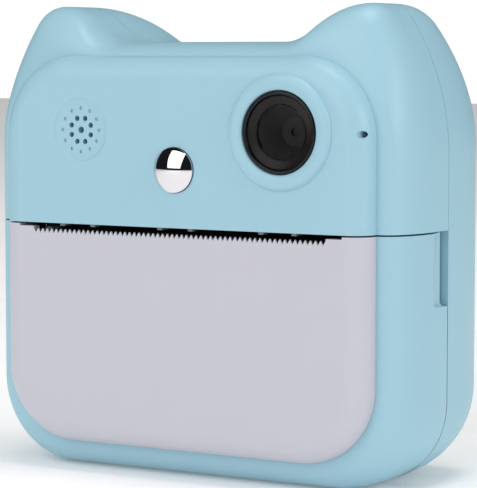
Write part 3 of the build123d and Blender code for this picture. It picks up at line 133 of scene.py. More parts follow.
def spot(x, depth, height):
    """Place from millimetres across, behind the front face and above the base."""
    return Vector((x, depth - MIDDLE, height)) * MM


def between(start, end, share):
    """Value a share of the way from start to end."""
    return start + (end - start) * share


# ---------------------------------------------------------------- finishes
def link(tree, start, out, end, socket):
    """Join an output of one node to an input of another."""
    tree.links.new(start.outputs[out], end.inputs[socket])


def add_node(tree, kind, **values):
    """New node with the values of its inputs."""
    node = tree.nodes.new(kind)
    for key, value in values.items():
        node.inputs[key].default_value = value
    return node


def finish_of(name, colour, rough, grain, grain_size, vary=0.03, rough_vary=0.08, **shader):
    """Surface with a fine moulded grain and a slight unevenness of colour and of gloss.

    grain is the height of the grain and grain_size its width, both in millimetres.
    """
    material = bpy.data.materials.new(name)
    material.use_nodes = True
    tree = material.node_tree
    surface = tree.nodes["Principled BSDF"]
    surface.inputs["Base Color"].default_value = (*colour, 1)
    surface.inputs["Roughness"].default_value = rough
    for key, value in shader.items():
        surface.inputs[key].default_value = value
    place = tree.nodes.new("ShaderNodeTexCoord")
    fine = add_node(tree, "ShaderNodeTexNoise", Scale=1 / (grain_size * MM), Detail=3.0, Roughness=0.6)
    broad = add_node(tree, "ShaderNodeTexNoise", Scale=UNEVENNESS, Detail=4.0, Roughness=0.6)
    link(tree, place, "Object", fine, "Vector")
    link(tree, place, "Object", broad, "Vector")
    # the colours of a Mix node are its inputs 6 and 7 and its output 2
    shade = tree.nodes.new("ShaderNodeMix")
    shade.data_type = "RGBA"
    shade.inputs[6].default_value = (*[c * (1 - vary) for c in colour], 1)
    shade.inputs[7].default_value = (*[min(1, c * (1 + vary)) for c in colour], 1)
    link(tree, broad, "Fac", shade, 0)
    link(tree, shade, 2, surface, "Base Color")
    low, high = max(0.02, rough - rough_vary), min(1, rough + rough_vary)
    gloss_range = {"From Min": 0.3, "From Max": 0.7, "To Min": low, "To Max": high}
    gloss = add_node(tree, "ShaderNodeMapRange", **gloss_range)
    link(tree, broad, "Fac", gloss, "Value")
    link(tree, gloss, "Result", surface, "Roughness")
    bump = add_node(tree, "ShaderNodeBump", Strength=1.0, Distance=grain * MM)
    link(tree, fine, "Fac", bump, "Height")
    link(tree, bump, "Normal", surface, "Normal")
    return material


FINISHES = {
    "shell_blue": finish_of("satin blue shell", SHELL_BLUE, 0.42, 0.004, 0.22, 0.012, 0.04),
    "plate_lavender": finish_of("lavender plate", PLATE_LAVENDER, 0.40, 0.003, 0.25, 0.012, 0.04),
    "black_plastic": finish_of("black moulding", (0.010, 0.010, 0.012), 0.45, 0.008, 0.2),
    "lens_black": finish_of("polished black barrel", (0.003, 0.005, 0.009), 0.25, 0.002, 0.3, **DULL),
    "lens_glass": finish_of(
        "coated lens glass", (0.9, 0.93, 1.0), 0.03, 0.0002, 2.0, 0.0, 0.0, **CLEAR, IOR=1.3
    ),
    "chrome_mirror": finish_of(
        "chromed mirror", (0.78, 0.76, 0.78), 0.03, 0.0001, 3.0, 0.0, 0.01, Metallic=1.0
    ),
    "screen_black": finish_of("black screen glass", (0.006, 0.006, 0.008), 0.06, 0.0002, 3.0, 0.0, 0.02),
    "key_white": finish_of("white keys", (0.76, 0.76, 0.80), 0.35, 0.003, 0.25),
    "rubber_black": finish_of("roller rubber", (0.014, 0.014, 0.015), 0.7, 0.01, 0.15),
    "steel": finish_of("brushed steel", (0.55, 0.56, 0.58), 0.3, 0.003, 0.3, Metallic=1.0),
    "aluminium": finish_of("plain aluminium", (0.62, 0.63, 0.65), 0.35, 0.003, 0.3, Metallic=1.0),
    "gear_white": finish_of("gear plastic", (0.72, 0.72, 0.68), 0.4, 0.004, 0.3),
    "bushing_plastic": finish_of("grey bushings", (0.10, 0.10, 0.11), 0.4, 0.004, 0.3),
    "paper_white": finish_of("thermal paper", (0.88, 0.88, 0.86), 0.8, 0.01, 0.1),
    "core_card": finish_of("card core", (0.42, 0.31, 0.20), 0.85, 0.02, 0.2),
    "board_green": finish_of("board lacquer", (0.02, 0.14, 0.06), 0.3, 0.004, 0.4),
    "battery_grey": finish_of("battery foil", (0.45, 0.46, 0.48), 0.35, 0.01, 0.8, Metallic=0.6),
    "ceramic_head": finish_of("head glaze", (0.32, 0.30, 0.27), 0.25, 0.002, 0.3),
    "ribbon": finish_of("amber ribbon", (0.50, 0.33, 0.10), 0.3, 0.003, 0.5),
    "speaker_grey": finish_of("speaker frame", (0.05, 0.05, 0.055), 0.6, 0.01, 0.2),
}
KEY_PRINT = finish_of("grey key print", (0.16, 0.17, 0.20), 0.5, 0.002, 0.2)
LENS_HOOD = finish_of("dark lens hood", (0.010, 0.008, 0.007), 0.35, 0.002, 0.3, **DULLER)
SMOKED_GLASS = finish_of(
    "smoked lens glass", (0.70, 0.70, 0.72), 0.05, 0.0002, 2.0, 0.0, 0.0, **CLEAR, IOR=1.12
)
INNER_BAFFLE = finish_of("dark inner baffle", (0.055, 0.053, 0.052), 0.6, 0.004, 0.3)
# painted highlight: a light grey for the glints on the ribs of the paper guide
RIB_GLINT_GREY = finish_of("worn rib edges", (0.16, 0.16, 0.17), 0.4, 0.003, 0.2)
SCREW_ZINC = finish_of("zinc screw", (0.42, 0.42, 0.44), 0.35, 0.004, 0.3, Metallic=1.0)
SLOTS = {part["node"]: part["material_slot"] for part in frame["record"]["subparts"]}
BODY = {name: body for body, names in frame["record"]["behaviour"]["bodies"].items() for name in names}


def dress(piece, name, finish=None, stands_in=True):
    """Let a piece ride with a CAD node's body, with that node's finish or a given one, and hide the node
    where the piece stands in for it.
    """
    piece.data.materials.clear()
    piece.data.materials.append(finish or FINISHES[SLOTS[name]])
    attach(piece, BODY[name])
    if stands_in:
        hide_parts(name)
    return piece


# ---------------------------------------------------------------- making pieces
def piece_from(bm, name):
    """Object with the bmesh as its mesh."""
    mesh = bpy.data.meshes.new(name)
    bm.to_mesh(mesh)
    bm.free()
    piece = bpy.data.objects.new(name, mesh)
    bpy.context.scene.collection.objects.link(piece)
    return piece


def smooth_by_angle(bm):
    """Shade faces smooth, and mark the edges between those that meet steeply."""
    for face in bm.faces:
        face.smooth = True
    for edge in bm.edges:
        edge.smooth = len(edge.link_faces) == 2 and edge.calc_face_angle(pi) < radians(SMOOTH_LIMIT)


def finished(piece, width=0.0):
    """Ease the sharp edges of a piece and let its flat faces lead the shading."""
    if width:
        bevel = piece.modifiers.new("eased edges", "BEVEL")
        bevel.width = width * MM
        bevel.segments = 2
        bevel.limit_method = "ANGLE"
        bevel.angle_limit = radians(SMOOTH_LIMIT)
    shade = piece.modifiers.new("flat faces lead", "WEIGHTED_NORMAL")
    shade.keep_sharp = True
    return piece


def joined(name, ending="_copy"):
    """Copy of a node with its loose triangles joined."""
    bm = bmesh.new()
    bm.from_mesh(nodes[name].data)
    bmesh.ops.remove_doubles(bm, verts=bm.verts, dist=WELD * MM)
    bmesh.ops.dissolve_limit(bm, angle_limit=radians(0.5), verts=bm.verts, edges=bm.edges)
    return piece_from(bm, name + ending)


def shaded(piece):
    """Shade a piece smooth wherever its surface bends gently."""
    bm = bmesh.new()
    bm.from_mesh(piece.data)
    smooth_by_angle(bm)
    bm.to_mesh(piece.data)
    bm.free()
    return piece


def eased(name, width=0.0):
    """Copy of a node with smooth curves and eased edges, in its place."""
    return dress(finished(shaded(joined(name, "_skin")), width), name)


def arc(x, z, radius, start, end, count, last=False):
    """Points on an arc, with its last one where that is wanted."""
    turns = [between(start, end, step / count) for step in range(count + last)]
    return [(x + radius * cos(turn), z + radius * sin(turn)) for turn in turns]


def line(start, end, count):
    """Points on a line, without its last one."""
    shares = [step / count for step in range(count)]
    return [(between(start[0], end[0], share), between(start[1], end[1], share)) for share in shares]


def oblong(x, z, width, tall):
    """Corners of a rectangle about a place."""
    left, right, foot, head = x - width / 2, x + width / 2, z - tall / 2, z + tall / 2
    return [(left, foot), (right, foot), (right, head), (left, head)]


def rounded(x, z, width, tall, radius):
    """Outline of a rectangle with round corners."""
    points = []
    for i, (side, up) in enumerate(((1, -1), (1, 1), (-1, 1), (-1, -1))):
        centre = (x + side * (width / 2 - radius), z + up * (tall / 2 - radius))
        points += arc(*centre, radius, (i - 1) * pi / 2, i * pi / 2, 8, last=True)
    return points


def band(x, z, inner, outer, start, end, steps=28, inner_steps=28):
    """Outline of a part of a ring."""
    far = arc(x, z, outer, start, end, steps, last=True)
    return far + arc(x, z, inner, end, start, inner_steps, last=True)


def swell(depth, full, power):
    """Share of the bulge reached at a depth: a superellipse quarter that starts at the crease."""
    if depth >= full:
        return 1.0
    left = (full - depth) / (full - PAD_RISE)
    return (1 - left**power) ** (1 / power)


def outline(depth, inset=0.0):
    """Closed outline of the housing at a depth, moved inwards by inset."""
    if depth <= SEAM:
        side = swell(depth, SEAM, BULGE_POWER)
        low = swell(depth, LOW_FULL, BULGE_POWER)
        top = swell(depth, TOP_FULL, TOP_POWER) ** 2
    else:
        gone = max(0.0, (depth - BACK_START) / (BODY_DEPTH - BACK_START))
        side = low = top = max(0.0, 1 - gone**BACK_POWER) ** (1 / BACK_POWER)
    half = between(PAD_HALF, HALF, side) - inset
    base = between(PAD_BOTTOM, 0, low) + inset
    flat = between(PAD_TOP, FLAT_TOP, top) - inset
    tip = between(PAD_TOP, EAR_TOP, top) - inset
    corner = between(PAD_CORNER, CORNER, side) - inset
    start = between(PAD_SIDE_TOP, EAR_START, side)
    tip_x = between(PAD_SHOULDER, EAR_X, top)
    valley = between(PAD_VALLEY_X, VALLEY_X, top)
    small = between(PAD_TIP_R, EAR_TIP_R, top) - inset / 2
    wide = half - tip_x
    tall = tip - start
    big = (wide**2 + tall**2 - 2 * tall * small) / (2 * (wide - small))
    turn = atan2(tip - small - start, tip_x - half + big)
    right = line((0, base), (half - corner, base), 12)
    right += arc(half - corner, base + corner, corner, -pi / 2, 0, 16)
    right += line((half, base + corner), (half, start), 14)
    right += arc(half - big, start, big, 0, turn, 16)
    right += arc(tip_x, tip - small, small, turn, pi / 2, 14)
    if tip - flat > 0.01:
        slope = 2 * atan2(tip - flat, tip_x - valley)
        bend = (tip_x - valley) / (2 * sin(slope))
        right += arc(tip_x, tip - bend, bend, pi / 2, pi / 2 + slope, 10)
        right += arc(valley, flat + bend, bend, slope - pi / 2, -pi / 2, 10)
    else:
        right += line((tip_x, tip), (valley, flat), 20)
    right += line((valley, flat), (0, flat), 8)
    left = [(-x, z) for x, z in reversed(right[1:])]
    return [*right, (0, flat), *left]


def looped(bm, points):
    """Edges of a closed loop through the points."""
    corners = [bm.verts.new(point) for point in points]
    return [bm.edges.new(pair) for pair in zip(corners, corners[1:] + corners[:1])]


def lofted(rings, name="cutter"):
    """Closed solid through outlines, each given by its place in depth and its points."""
    bm = bmesh.new()
    loops = [looped(bm, [spot(x, depth, z) for x, z in points]) for depth, points in rings]
    for near, far in zip(loops, loops[1:]):
        bmesh.ops.bridge_loops(bm, edges=near + far)
    for end in (loops[0], loops[-1]):
        bmesh.ops.edgeloop_fill(bm, edges=end)
    bmesh.ops.recalc_face_normals(bm, faces=bm.faces)
    return piece_from(bm, name)


def pushed(corners, way):
    """Closed solid in a bmesh: a flat outline pushed along a line."""
    bm = bmesh.new()
    start = bmesh.ops.edgeloop_fill(bm, edges=looped(bm, corners))["faces"]
    moved = bmesh.ops.extrude_face_region(bm, geom=start)["geom"]
    verts = [item for item in moved if isinstance(item, bmesh.types.BMVert)]
    bmesh.ops.translate(bm, vec=way, verts=verts)
    bmesh.ops.recalc_face_normals(bm, faces=bm.faces)
    return bm


def prism(points, start, end):
    """Solid with one outline, between two depths."""
    corners = [spot(x, start, z) for x, z in points]
    return piece_from(pushed(corners, Vector((0, end - start, 0)) * MM), "cutter")


def bar_across(points, x0, x1):
    """Solid with one outline of (depth, height) points, between two places across."""
    corners = [spot(x0, depth, z) for depth, z in points]
    return piece_from(pushed(corners, Vector((x1 - x0, 0, 0)) * MM), "cutter")


def turned(x, z, profile, name="cutter", segments=96):
    """Closed solid turned about an axis along the depth, from (radius, depth) points."""
    bm = bmesh.new()
    edges = looped(bm, [spot(x + radius, depth, z) for radius, depth in profile])
    bmesh.ops.spin(
        bm,
        geom=[*bm.verts, *edges],
        cent=spot(x, 0, z),
        axis=(0, 1, 0),
        angle=2 * pi,
        steps=segments,
        use_merge=True,
    )
    bmesh.ops.remove_doubles(bm, verts=bm.verts, dist=WELD * MM)
    flat = [face for face in bm.faces if face.calc_area() < NO_AREA]
    bmesh.ops.delete(bm, geom=flat, context="FACES")
    bmesh.ops.delete(bm, geom=[edge for edge in bm.edges if not edge.link_faces], context="EDGES")
    bmesh.ops.recalc_face_normals(bm, faces=bm.faces)
    return piece_from(bm, name)


def rod(x, z, radius, start, end, segments=64):
    """Round bar along the depth."""
    return prism(arc(x, z, radius, 0, 2 * pi, segments), start, end)


def upright(x, depth, radius, start, end):
    """Round bar along Z, between two heights."""
    bm = bmesh.new()
    bmesh.ops.create_cone(
        bm,
        cap_ends=True,
        segments=64,
        radius1=radius * MM,
        radius2=radius * MM,
        depth=(end - start) * MM,
        matrix=Matrix.Translation(spot(x, depth, (start + end) / 2)),
    )
    return piece_from(bm, "cutter")


def block(x0, x1, depth0, depth1, z0, z1):
    """Solid box between places across, in depth and in height."""
    return prism([(x0, z0), (x1, z0), (x1, z1), (x0, z1)], depth0, depth1)


def below(height):
    """Cutter for everything below a height."""
    return block(-FAR, FAR, -5, FAR, -20, height)


def above(height):
    """Cutter for everything above a height."""
    return block(-FAR, FAR, -5, FAR, height, 2 * FAR)


def behind(depth):
    """Cutter for everything behind a depth."""
    return block(-FAR, FAR, depth, FAR, -20, 2 * FAR)


def cut(piece, cutters, operation="DIFFERENCE"):
    """Take the cutters out of a piece, or keep what lies in them, and remove them."""
    for cutter in cutters:
        change = piece.modifiers.new("cut", "BOOLEAN")
        change.operation = operation
        change.object = cutter
        change.solver = "EXACT"
    bpy.context.view_layer.update()
    shaped = piece.evaluated_get(bpy.context.evaluated_depsgraph_get())
    mesh = bpy.data.meshes.new_from_object(shaped)
    piece.modifiers.clear()
    piece.data = mesh
    for cutter in cutters:
        bpy.data.objects.remove(cutter)
    return piece


def merged(pieces, name="cutter"):
    """One piece from several that don't touch."""
    bm = bmesh.new()
    for piece in pieces:
        bm.from_mesh(piece.data)
        bpy.data.objects.remove(piece)
    return piece_from(bm, name)


def cleaned(piece, *extra):
    """Join the doubles of a carved piece, add whole pieces to it and shade it by angle."""
    bm = bmesh.new()
    bm.from_mesh(piece.data)
    bmesh.ops.remove_doubles(bm, verts=bm.verts, dist=0.002 * MM)
    bmesh.ops.dissolve_degenerate(bm, edges=bm.edges, dist=0.001 * MM)
    for other in extra:
        bm.from_mesh(other.data)
        bpy.data.objects.remove(other)
    smooth_by_angle(bm)
    bm.to_mesh(piece.data)
    bm.free()
    return piece


# ---------------------------------------------------------------- front shell
def bulge_rings(inset=0.0, steps=22):
    """Outlines from the crease round the pad back to the seam."""
    shares = [1 - cos(pi / 2 * step / steps) for step in range(steps + 1)]
    places = [between(PAD_RISE + inset, SEAM, share) for share in shares]
    return [
        (place, outline(between(PAD_RISE, SEAM, share), inset)) for place, share in zip(places, shares)
    ]


def pad_rings(steps=10):
    """Outlines of the rolled edge of the pad, from its flat face to the crease."""
    turns = [pi / 2 * step / steps for step in range(steps + 1)]
    return [
        (PAD_ROLL * (1 - cos(turn)), outline(PAD_RISE, PAD_ROLL * (1 - sin(turn)))) for turn in turns
    ]


def front_hollow():
    """Cutter that leaves the walls of the front half."""
    return lofted([*bulge_rings(WALL, 6)[:-1], (SEAM + 2, outline(SEAM, WALL))])


def lens_collar():
    """Soft raised ring round the lens."""
    ring = [(LENS_BORE, 0.6), (7.33, -0.4), (7.45, -0.62), (7.7, -0.78), (8.2, -0.92), (8.7, -1.0)]
    ring += [(9.15, -0.97), (9.55, -0.82), (9.87, -0.55), (10.08, -0.25), (10.2, 0.03), (10.2, 0.6)]
    return turned(*LENS, ring, "collar", 128)


def grille_cutters():
    """A shallow dish, nine holes through it and twelve dimples round them."""
    dish = [(0, 0.3), (5.2, 0.3), (5.55, 0.22), (5.8, 0.0), (5.9, -0.5), (0, -0.5)]
    x, z = GRILLE
    holes = [rod(x, z, 0.62, -1, 3, 24)]
    for ring, radius, count, half_step, deep in ((2.25, 0.5, 8, 0.5, 3.0), (3.95, 0.34, 12, 0.0, 0.55)):
        for i in range(count):
            angle = 2 * pi * (i + half_step) / count
            holes.append(rod(x + ring * cos(angle), z + ring * sin(angle), radius, -1, deep, 20))
    return [turned(x, z, dish), merged(holes)]


def screw_bosses():
    """Tubes that the housing screws bite into, behind the front wall."""
    rear = SEAM - SEAM_GROOVE
    bosses = []
    for (x, z), front in zip(CASE_SCREWS, BOSS_FRONTS):
        wall = [(0.85, front), (2.4, front), (2.4, rear), (0.85, rear)]
        bosses += [turned(side * x, z, wall, segments=32) for side in SIDES]
    return bosses


def front_shell():
    """Upper front moulding, with the pad, the collar, the holes and the screw bosses."""
    shell = lofted([*pad_rings(), *bulge_rings()], "front_shell_skin")
    mic_hole = [(0, 5.2), (0.62, 5.2), (0.62, 1.3), (0.8, 0.9), (0.95, 0.2), (0.95, -1), (0, -1)]
    cut(
        shell,
        [
            below(SPLIT),
            behind(SEAM - SEAM_GROOVE),
            front_hollow(),
            prism(outline(PAD_RISE, 3.0), WALL, PAD_RISE + WALL + 1),
            rod(*LENS, LENS_BORE, -2, 7, 96),
            rod(*NOSE, NOSE_RADIUS + 0.1, -2, 1.2),
            rod(*NOSE, NOSE_STEM + 0.05, -2, 3, 32),
            turned(*MIC, mic_hole, segments=32),
            *grille_cutters(),
        ],
    )
    cleaned(shell, lens_collar(), *screw_bosses())
    return dress(finished(shell), "front_shell")


# ---------------------------------------------------------------- door
def tear_edge():
    """Prism over the serrated edge."""
    pitch = 2 * TEETH_HALF / TEETH
    edge = [(-TEETH_HALF, SPLIT + 1), (-TEETH_HALF, TOOTH_TIP)]
    for tooth in range(TEETH):
        left = -TEETH_HALF + tooth * pitch
        edge += [(left + pitch / 2, TOOTH_VALLEY), (left + pitch, TOOTH_TIP)]
    edge.append((TEETH_HALF, SPLIT + 1))
    return prism(edge, -1, 2.2)


def door_plate():
    """Flat front plate with a rolled edge, thin behind the teeth."""
    plate = lofted([*pad_rings()[:-1], (PAD_RISE, outline(PAD_RISE))], "door_plate_skin")
    thin = TEETH_HALF + 0.1
    cut(
        plate,
        [
            above(SPLIT - DOOR_GAP),
            prism(outline(PAD_RISE, 1.6), 2.0, 6.0),
            block(-MOUTH_HALF, MOUTH_HALF, -5, 6, SPLIT - 0.7, SPLIT + 3),
            tear_edge(),
            block(-thin, thin, 0.45, 6, SPLIT - 2.2, SPLIT + 3),
        ],
    )
    return dress(finished(cleaned(plate), 0.1), "door_plate")


def finger_notch(side):
    """Cutter for a shallow slope that ends in a slot at the rear edge."""
    slope = [(HALF + 2, 22.0), (HALF - 1.55, 22.0), (HALF - 1.55, 18.65), (HALF - 0.75, 18.5)]
    slope += [(HALF - 0.7, 15.9), (HALF + 0.02, 14.7), (HALF + 2, 14.0)]
    corners = [spot(side * x, depth, NOTCH_FOOT) for x, depth in slope]
    bm = pushed(corners, Vector((0, 0, SPLIT + 1 - NOTCH_FOOT)) * MM)
    foot = [e for e in bm.edges if all(abs(v.co.z - NOTCH_FOOT * MM) < NEARLY for v in e.verts)]
    inward = [e for e in foot if abs(e.verts[0].co.x - e.verts[1].co.x) >= NEARLY]
    bmesh.ops.bevel(
        bm, geom=inward, offset=0.8 * MM, segments=4, profile=0.5, affect="EDGES", material=-1
    )
    return piece_from(bm, "cutter")


def door_shell():
    """Lower front moulding, with a finger notch at each side."""
    rim = outline(PAD_RISE, RIM)
    shell = lofted([(2.05, rim), (PAD_RISE, rim), *bulge_rings()], "door_shell_skin")
    cut(
        shell,
        [
            above(SPLIT - DOOR_GAP),
            behind(SEAM - DOOR_GAP),
            front_hollow(),
            prism(outline(PAD_RISE, 3.8), 4.2, PAD_RISE + WALL + 1),
            block(-MOUTH_HALF, MOUTH_HALF, 0, PAD_RISE + WALL + 1, SPLIT - 2.1, SPLIT + 3),
            *[finger_notch(side) for side in SIDES],
            bar_across(arc(SEAM, HINGE_HEIGHT, 2.25, 0, 2 * pi, 40), -FAR, FAR),
        ],
    )
    # the hinge knuckles and the lugs of the platen keep their plain shapes
    lugs = cut(joined("door_shell"), [block(-31.5, 31.5, 4.25, 20, 30, 45)], "INTERSECT")
    knuckles = [
        cut(joined("door_shell"), [block(x - 4, x + 4, 17.2, 22.6, -0.5, 3.95)], "INTERSECT")
        for x in KNUCKLES_X
    ]
    cleaned(shell, lugs, *knuckles)
    return dress(finished(shell), "door_shell")


# ---------------------------------------------------------------- rear shell
def rear_rings(inset=0.0, steps=18):
    """Outlines from the seam to the back: straight at first, then round."""
    rings = [(SEAM, outline(SEAM, inset))]
    for step in range(steps + 1):
        share = sin(pi / 2 * step / steps)
        place = between(BACK_START, BODY_DEPTH - inset, share)
        rings.append((place, outline(between(BACK_START, BODY_DEPTH, share), inset)))
    return rings


def rear_hollow(inset):
    """Cutter for the room inside the rear half."""
    seam, *others = rear_rings(inset, 8)
    return lofted([(SEAM - 2, seam[1]), *others])


def arrow_key(angle, grow):
    """Outline of one of the four keys round the middle one."""
    inner, outer = 5.4 - grow, 10.5 + grow
    half = radians(38.0) + grow / 5.4 / 2
    middle = radians(angle)
    return band(0, KEYS_HEIGHT, inner, outer, middle - half, middle + half, 24, 16)


def rear_shell():
    """Rear moulding, with the openings for screen, keys, screws, ports and hinge."""
    shell = lofted(rear_rings(), "rear_shell_skin")
    back, beyond = BODY_DEPTH, BODY_DEPTH + 3
    key_holes = [rod(x, z, radius + KEY_GAP, back - 4, beyond) for x, z, radius in ROUND_KEYS.values()]
    key_holes += [prism(arrow_key(angle, KEY_GAP), back - 4, beyond) for angle in ARROW_KEYS.values()]
    screw_holes = [rod(side * x, z, 1.8, SCREW_SEAT, beyond, 32) for x, z in CASE_SCREWS for side in SIDES]
    depth, height = USB
    usb = arc(depth, height + 2.9, 1.9, 0, pi, 12, last=True)
    usb += arc(depth, height - 2.9, 1.9, pi, 2 * pi, 12, last=True)
    room = arc(SEAM, HINGE_HEIGHT, 2.1, -pi, pi, 40)
    cut(
        shell,
        [
            rear_hollow(WALL),
            prism(rounded(*SCREEN, 50.1, 36.1, 3.0), back - 0.85, beyond),
            prism(rounded(*SCREEN, 41.0, 31.0, 1.0), back - 4, beyond),
            merged(key_holes),
            merged(screw_holes),
            bar_across(usb, -FAR, -36),
            bar_across(oblong(*CARD, 1.4, 11.6), -FAR, -36),
            upright(0, SHUTTER_DEPTH, 6.0, FLAT_TOP - 0.4, FLAT_TOP + 4),
            upright(0, SHUTTER_DEPTH, 4.3, FLAT_TOP - 4, FLAT_TOP + 4),
            *[bar_across(room, x - 3.1, x + 3.1) for x in KNUCKLES_X],
            *[block(x - 3.1, x + 3.1, SEAM - 3, SEAM + 2.1, -1, HINGE_HEIGHT) for x in KNUCKLES_X],
        ],
    )
    # posts, bosses, lip and hinge barrel keep their plain shapes
    fittings = cut(joined("rear_shell"), [rear_hollow(WALL + 0.03)], "INTERSECT")
    barrel = cut(joined("rear_shell"), [block(-35, 35, 18, SEAM, -0.5, 3.4)], "INTERSECT")
    cleaned(shell, fittings, barrel)
    return dress(finished(shell), "rear_shell")


def housing_screws():
    """Cross-headed screws at the bottom of their holes."""
    front, rim, seat = SCREW_SEAT - 1.1, SCREW_SEAT - 0.25, SCREW_SEAT
    for x, z in ((side * x, z) for x, z in CASE_SCREWS for side in SIDES):
        head = [(0, front), (1.7, front), (1.7, rim), (1.5, seat), (0, seat)]
        screw = turned(x, z, head, "housing_screw", 48)
        slots = [
            prism(oblong(x, z, width, tall), SCREW_SEAT - 0.5, SCREW_SEAT + 1)
            for width, tall in ((1.9, 0.4), (0.4, 1.9))
        ]
        dress(finished(cleaned(cut(screw, slots))), "rear_shell", SCREW_ZINC, stands_in=False)


# ---------------------------------------------------------------- lens and mirror
def lens_part(name, node, profile, finish=None, segments=128, stands_in=True):
    """Turned part about the axis of the lens."""
    part = finished(cleaned(turned(*LENS, profile, name, segments)))
    return dress(part, node, finish, stands_in)


def domed(ball, edge, steps, rim):
    """Profile of a dome on a ball of a radius, out to an edge whose depth is rim."""
    widest = asin(edge / ball)
    turns = [widest * step / steps for step in range(steps + 1)]
    return [(ball * sin(turn), rim + ball * (cos(widest) - cos(turn))) for turn in turns]


def lens():
    """Barrel, hood, domed window, inner baffle and the small lens over the sensor."""
    barrel = [(7.2, 9.0), (7.2, 3.0), (8.4, 3.0), (8.4, 2.0), (7.2, 2.0), (7.2, -0.3), (7.12, -0.5)]
    barrel += [(6.92, -0.6), (6.72, -0.58), (6.58, -0.46), (6.52, -0.3), (6.5, 0.0), (6.5, 0.95)]
    barrel += [(4.6, 0.95), (4.6, 9.0)]
    lens_part("lens_barrel_skin", "lens_barrel", barrel)
    hood = [(6.49, 0.0), (6.3, -0.08), (5.25, 0.42), (5.12, 0.44), (5.05, 0.5), (4.95, 0.52)]
    hood += [(4.95, 0.9), (6.49, 0.9)]
    lens_part("lens_retainer_skin", "lens_retainer", hood, LENS_HOOD)
    glass = [*domed(13.0, LENS_GLASS, 16, 0.62), (LENS_GLASS, 0.94), (0, 0.94)]
    lens_part("lens_window_skin", "lens_window", glass, SMOKED_GLASS)
    funnel = [(4.58, 0.96), (2.3, 5.4), (1.75, 5.6), (1.75, 6.2), (4.58, 6.2)]
    lens_part("lens_baffle", "lens_barrel", funnel, INNER_BAFFLE, 96, stands_in=False)
    eye = [(0, 5.75), (0.5, 5.8), (0.75, 6.0), (0.8, 5.7), (1.05, 5.7), (1.15, 6.0), (1.3, 5.85)]
    eye += [(1.7, 5.9), (1.7, 6.2), (0, 6.2)]
    lens_part("sensor_lens", "camera_module", eye, FINISHES["screen_black"], 64, stands_in=False)


def painted_rib_glints():
    """Painted highlights: light grey blocks on the edges of the ribs under the mouth's upper lip, standing
    in for their glints.
    """
    places = [side * x for x in (3.2, 17.6, 24.2) for side in SIDES]
    ribs = merged([block(x - 0.5, x + 0.5, 0.3, 2.2, 45.25, 45.72) for x in places], "guide_rib_edges")
    dress(cleaned(ribs), "paper_guide", RIB_GLINT_GREY, stands_in=False)


def mirror():
    """Chromed dome on a stem."""
    ball = (NOSE_RISE**2 + NOSE_RADIUS**2) / (2 * NOSE_RISE)
    dome = domed(ball, NOSE_RADIUS, 24, -0.4)
    dome += [(NOSE_RADIUS, 1.2), (NOSE_STEM, 1.2), (NOSE_STEM, 3.0), (0, 3.0)]
    dress(finished(cleaned(turned(*NOSE, dome, "nose_mirror_skin", 128))), "nose_mirror")


# ---------------------------------------------------------------- prints on the keys
def arrow_sign(angle):
    """Triangle that points away from the middle key."""
    turn = radians(angle)
    tip = [(9.1, 0), (7.1, 1.15), (7.1, -1.15)]
    return [(r * cos(turn) - t * sin(turn), KEYS_HEIGHT + r * sin(turn) + t * cos(turn)) for r, t in tip]


def raised(points):
    """Thin solid of a sign, a hair above the face of its key."""
    face = BODY_DEPTH + 0.8
    return prism(points, face - 0.03, face + 0.03)


def letter_o(z):
    """Narrow ring at the right of the middle, which is at the left seen from behind."""
    outer, inner = (
        [(1.0 + 0.66 * (px - 1.0), pz) for px, pz in arc(1.0, z, radius, 0, 2 * pi, 28)]
        for radius in (1.14, 0.72)
    )
    return cut(raised(outer), [prism(inner, BODY_DEPTH, BODY_DEPTH + 2)])


def letter_k(z):
    """Letter at the left of the middle, which is at the right seen from behind."""
    points = [(-0.4, -1.1), (-0.8, -1.1), (-0.8, 1.1), (-0.4, 1.1), (-0.4, 0.3), (-1.25, 1.1), (-1.8, 1.1)]
    points += [(-0.9, 0.05), (-1.9, -1.1), (-1.35, -1.1), (-0.62, -0.22), (-0.4, -0.05)]
    return raised([(px, pz + z) for px, pz in points])


def key_prints():
    """Common signs on the keys."""
    signs = {name: [raised(arrow_sign(angle))] for name, angle in ARROW_KEYS.items()}
    x, z, _ = ROUND_KEYS["power_button"]
    ring = band(x, z, 1.15, 1.5, radians(125), radians(415))
    signs["power_button"] = [raised(ring), raised(oblong(x, z + 1.05, 0.36, 1.5))]
    x, z, _ = ROUND_KEYS["mode_button"]
    signs["mode_button"] = [raised(oblong(x, z + up, 2.6, 0.36)) for up in (-0.85, 0, 0.85)]
    x, z, _ = ROUND_KEYS["gallery_button"]
    signs["gallery_button"] = [raised([(x + 0.9, z + 1.3), (x - 1.35, z), (x + 0.9, z - 1.3)])]
    x, z, _ = ROUND_KEYS["print_button"]
    paper = [raised(oblong(x, z + up, 1.7, 0.7)) for up in (1.25, -1.2)]
    signs["print_button"] = [raised(oblong(x, z, 3.0, 1.3)), *paper]
    signs["ok_button"] = [letter_o(KEYS_HEIGHT), letter_k(KEYS_HEIGHT)]
    for name, pieces in signs.items():
        dress(cleaned(merged(pieces, name + "_print")), name, KEY_PRINT, stands_in=False)


front_shell()
door_plate()
door_shell()
rear_shell()
housing_screws()
lens()
painted_rib_glints()
mirror()
key_prints()
eased("screen_window", 0.15)
eased("platen_roller")
eased("paper_guide", 0.1)
eased("shutter_button", 0.3)
for key in SLOTS:
    if key.endswith("_button") and key != "shutter_button":
        eased(key, 0.25)

for name, node in nodes.items():
    if not node.material_slots:
        node.data.materials.append(FINISHES[SLOTS[name]])
    for place in node.material_slots:
        place.material = FINISHES[SLOTS[name]]


# ---------------------------------------------------------------- stage, light and camera
def lay_floor():
    """Pale floor under the camera."""
    bm = bmesh.new()
    bmesh.ops.create_grid(bm, x_segments=1, y_segments=1, size=3.0)
    floor = piece_from(bm, "floor")
    glow = {"Emission Color": (1, 1, 1, 1), "Emission Strength": 0.12}
    floor.data.materials.append(finish_of("pale floor", (0.93, 0.93, 0.93), 0.8, 0.01, 2.0, **glow))


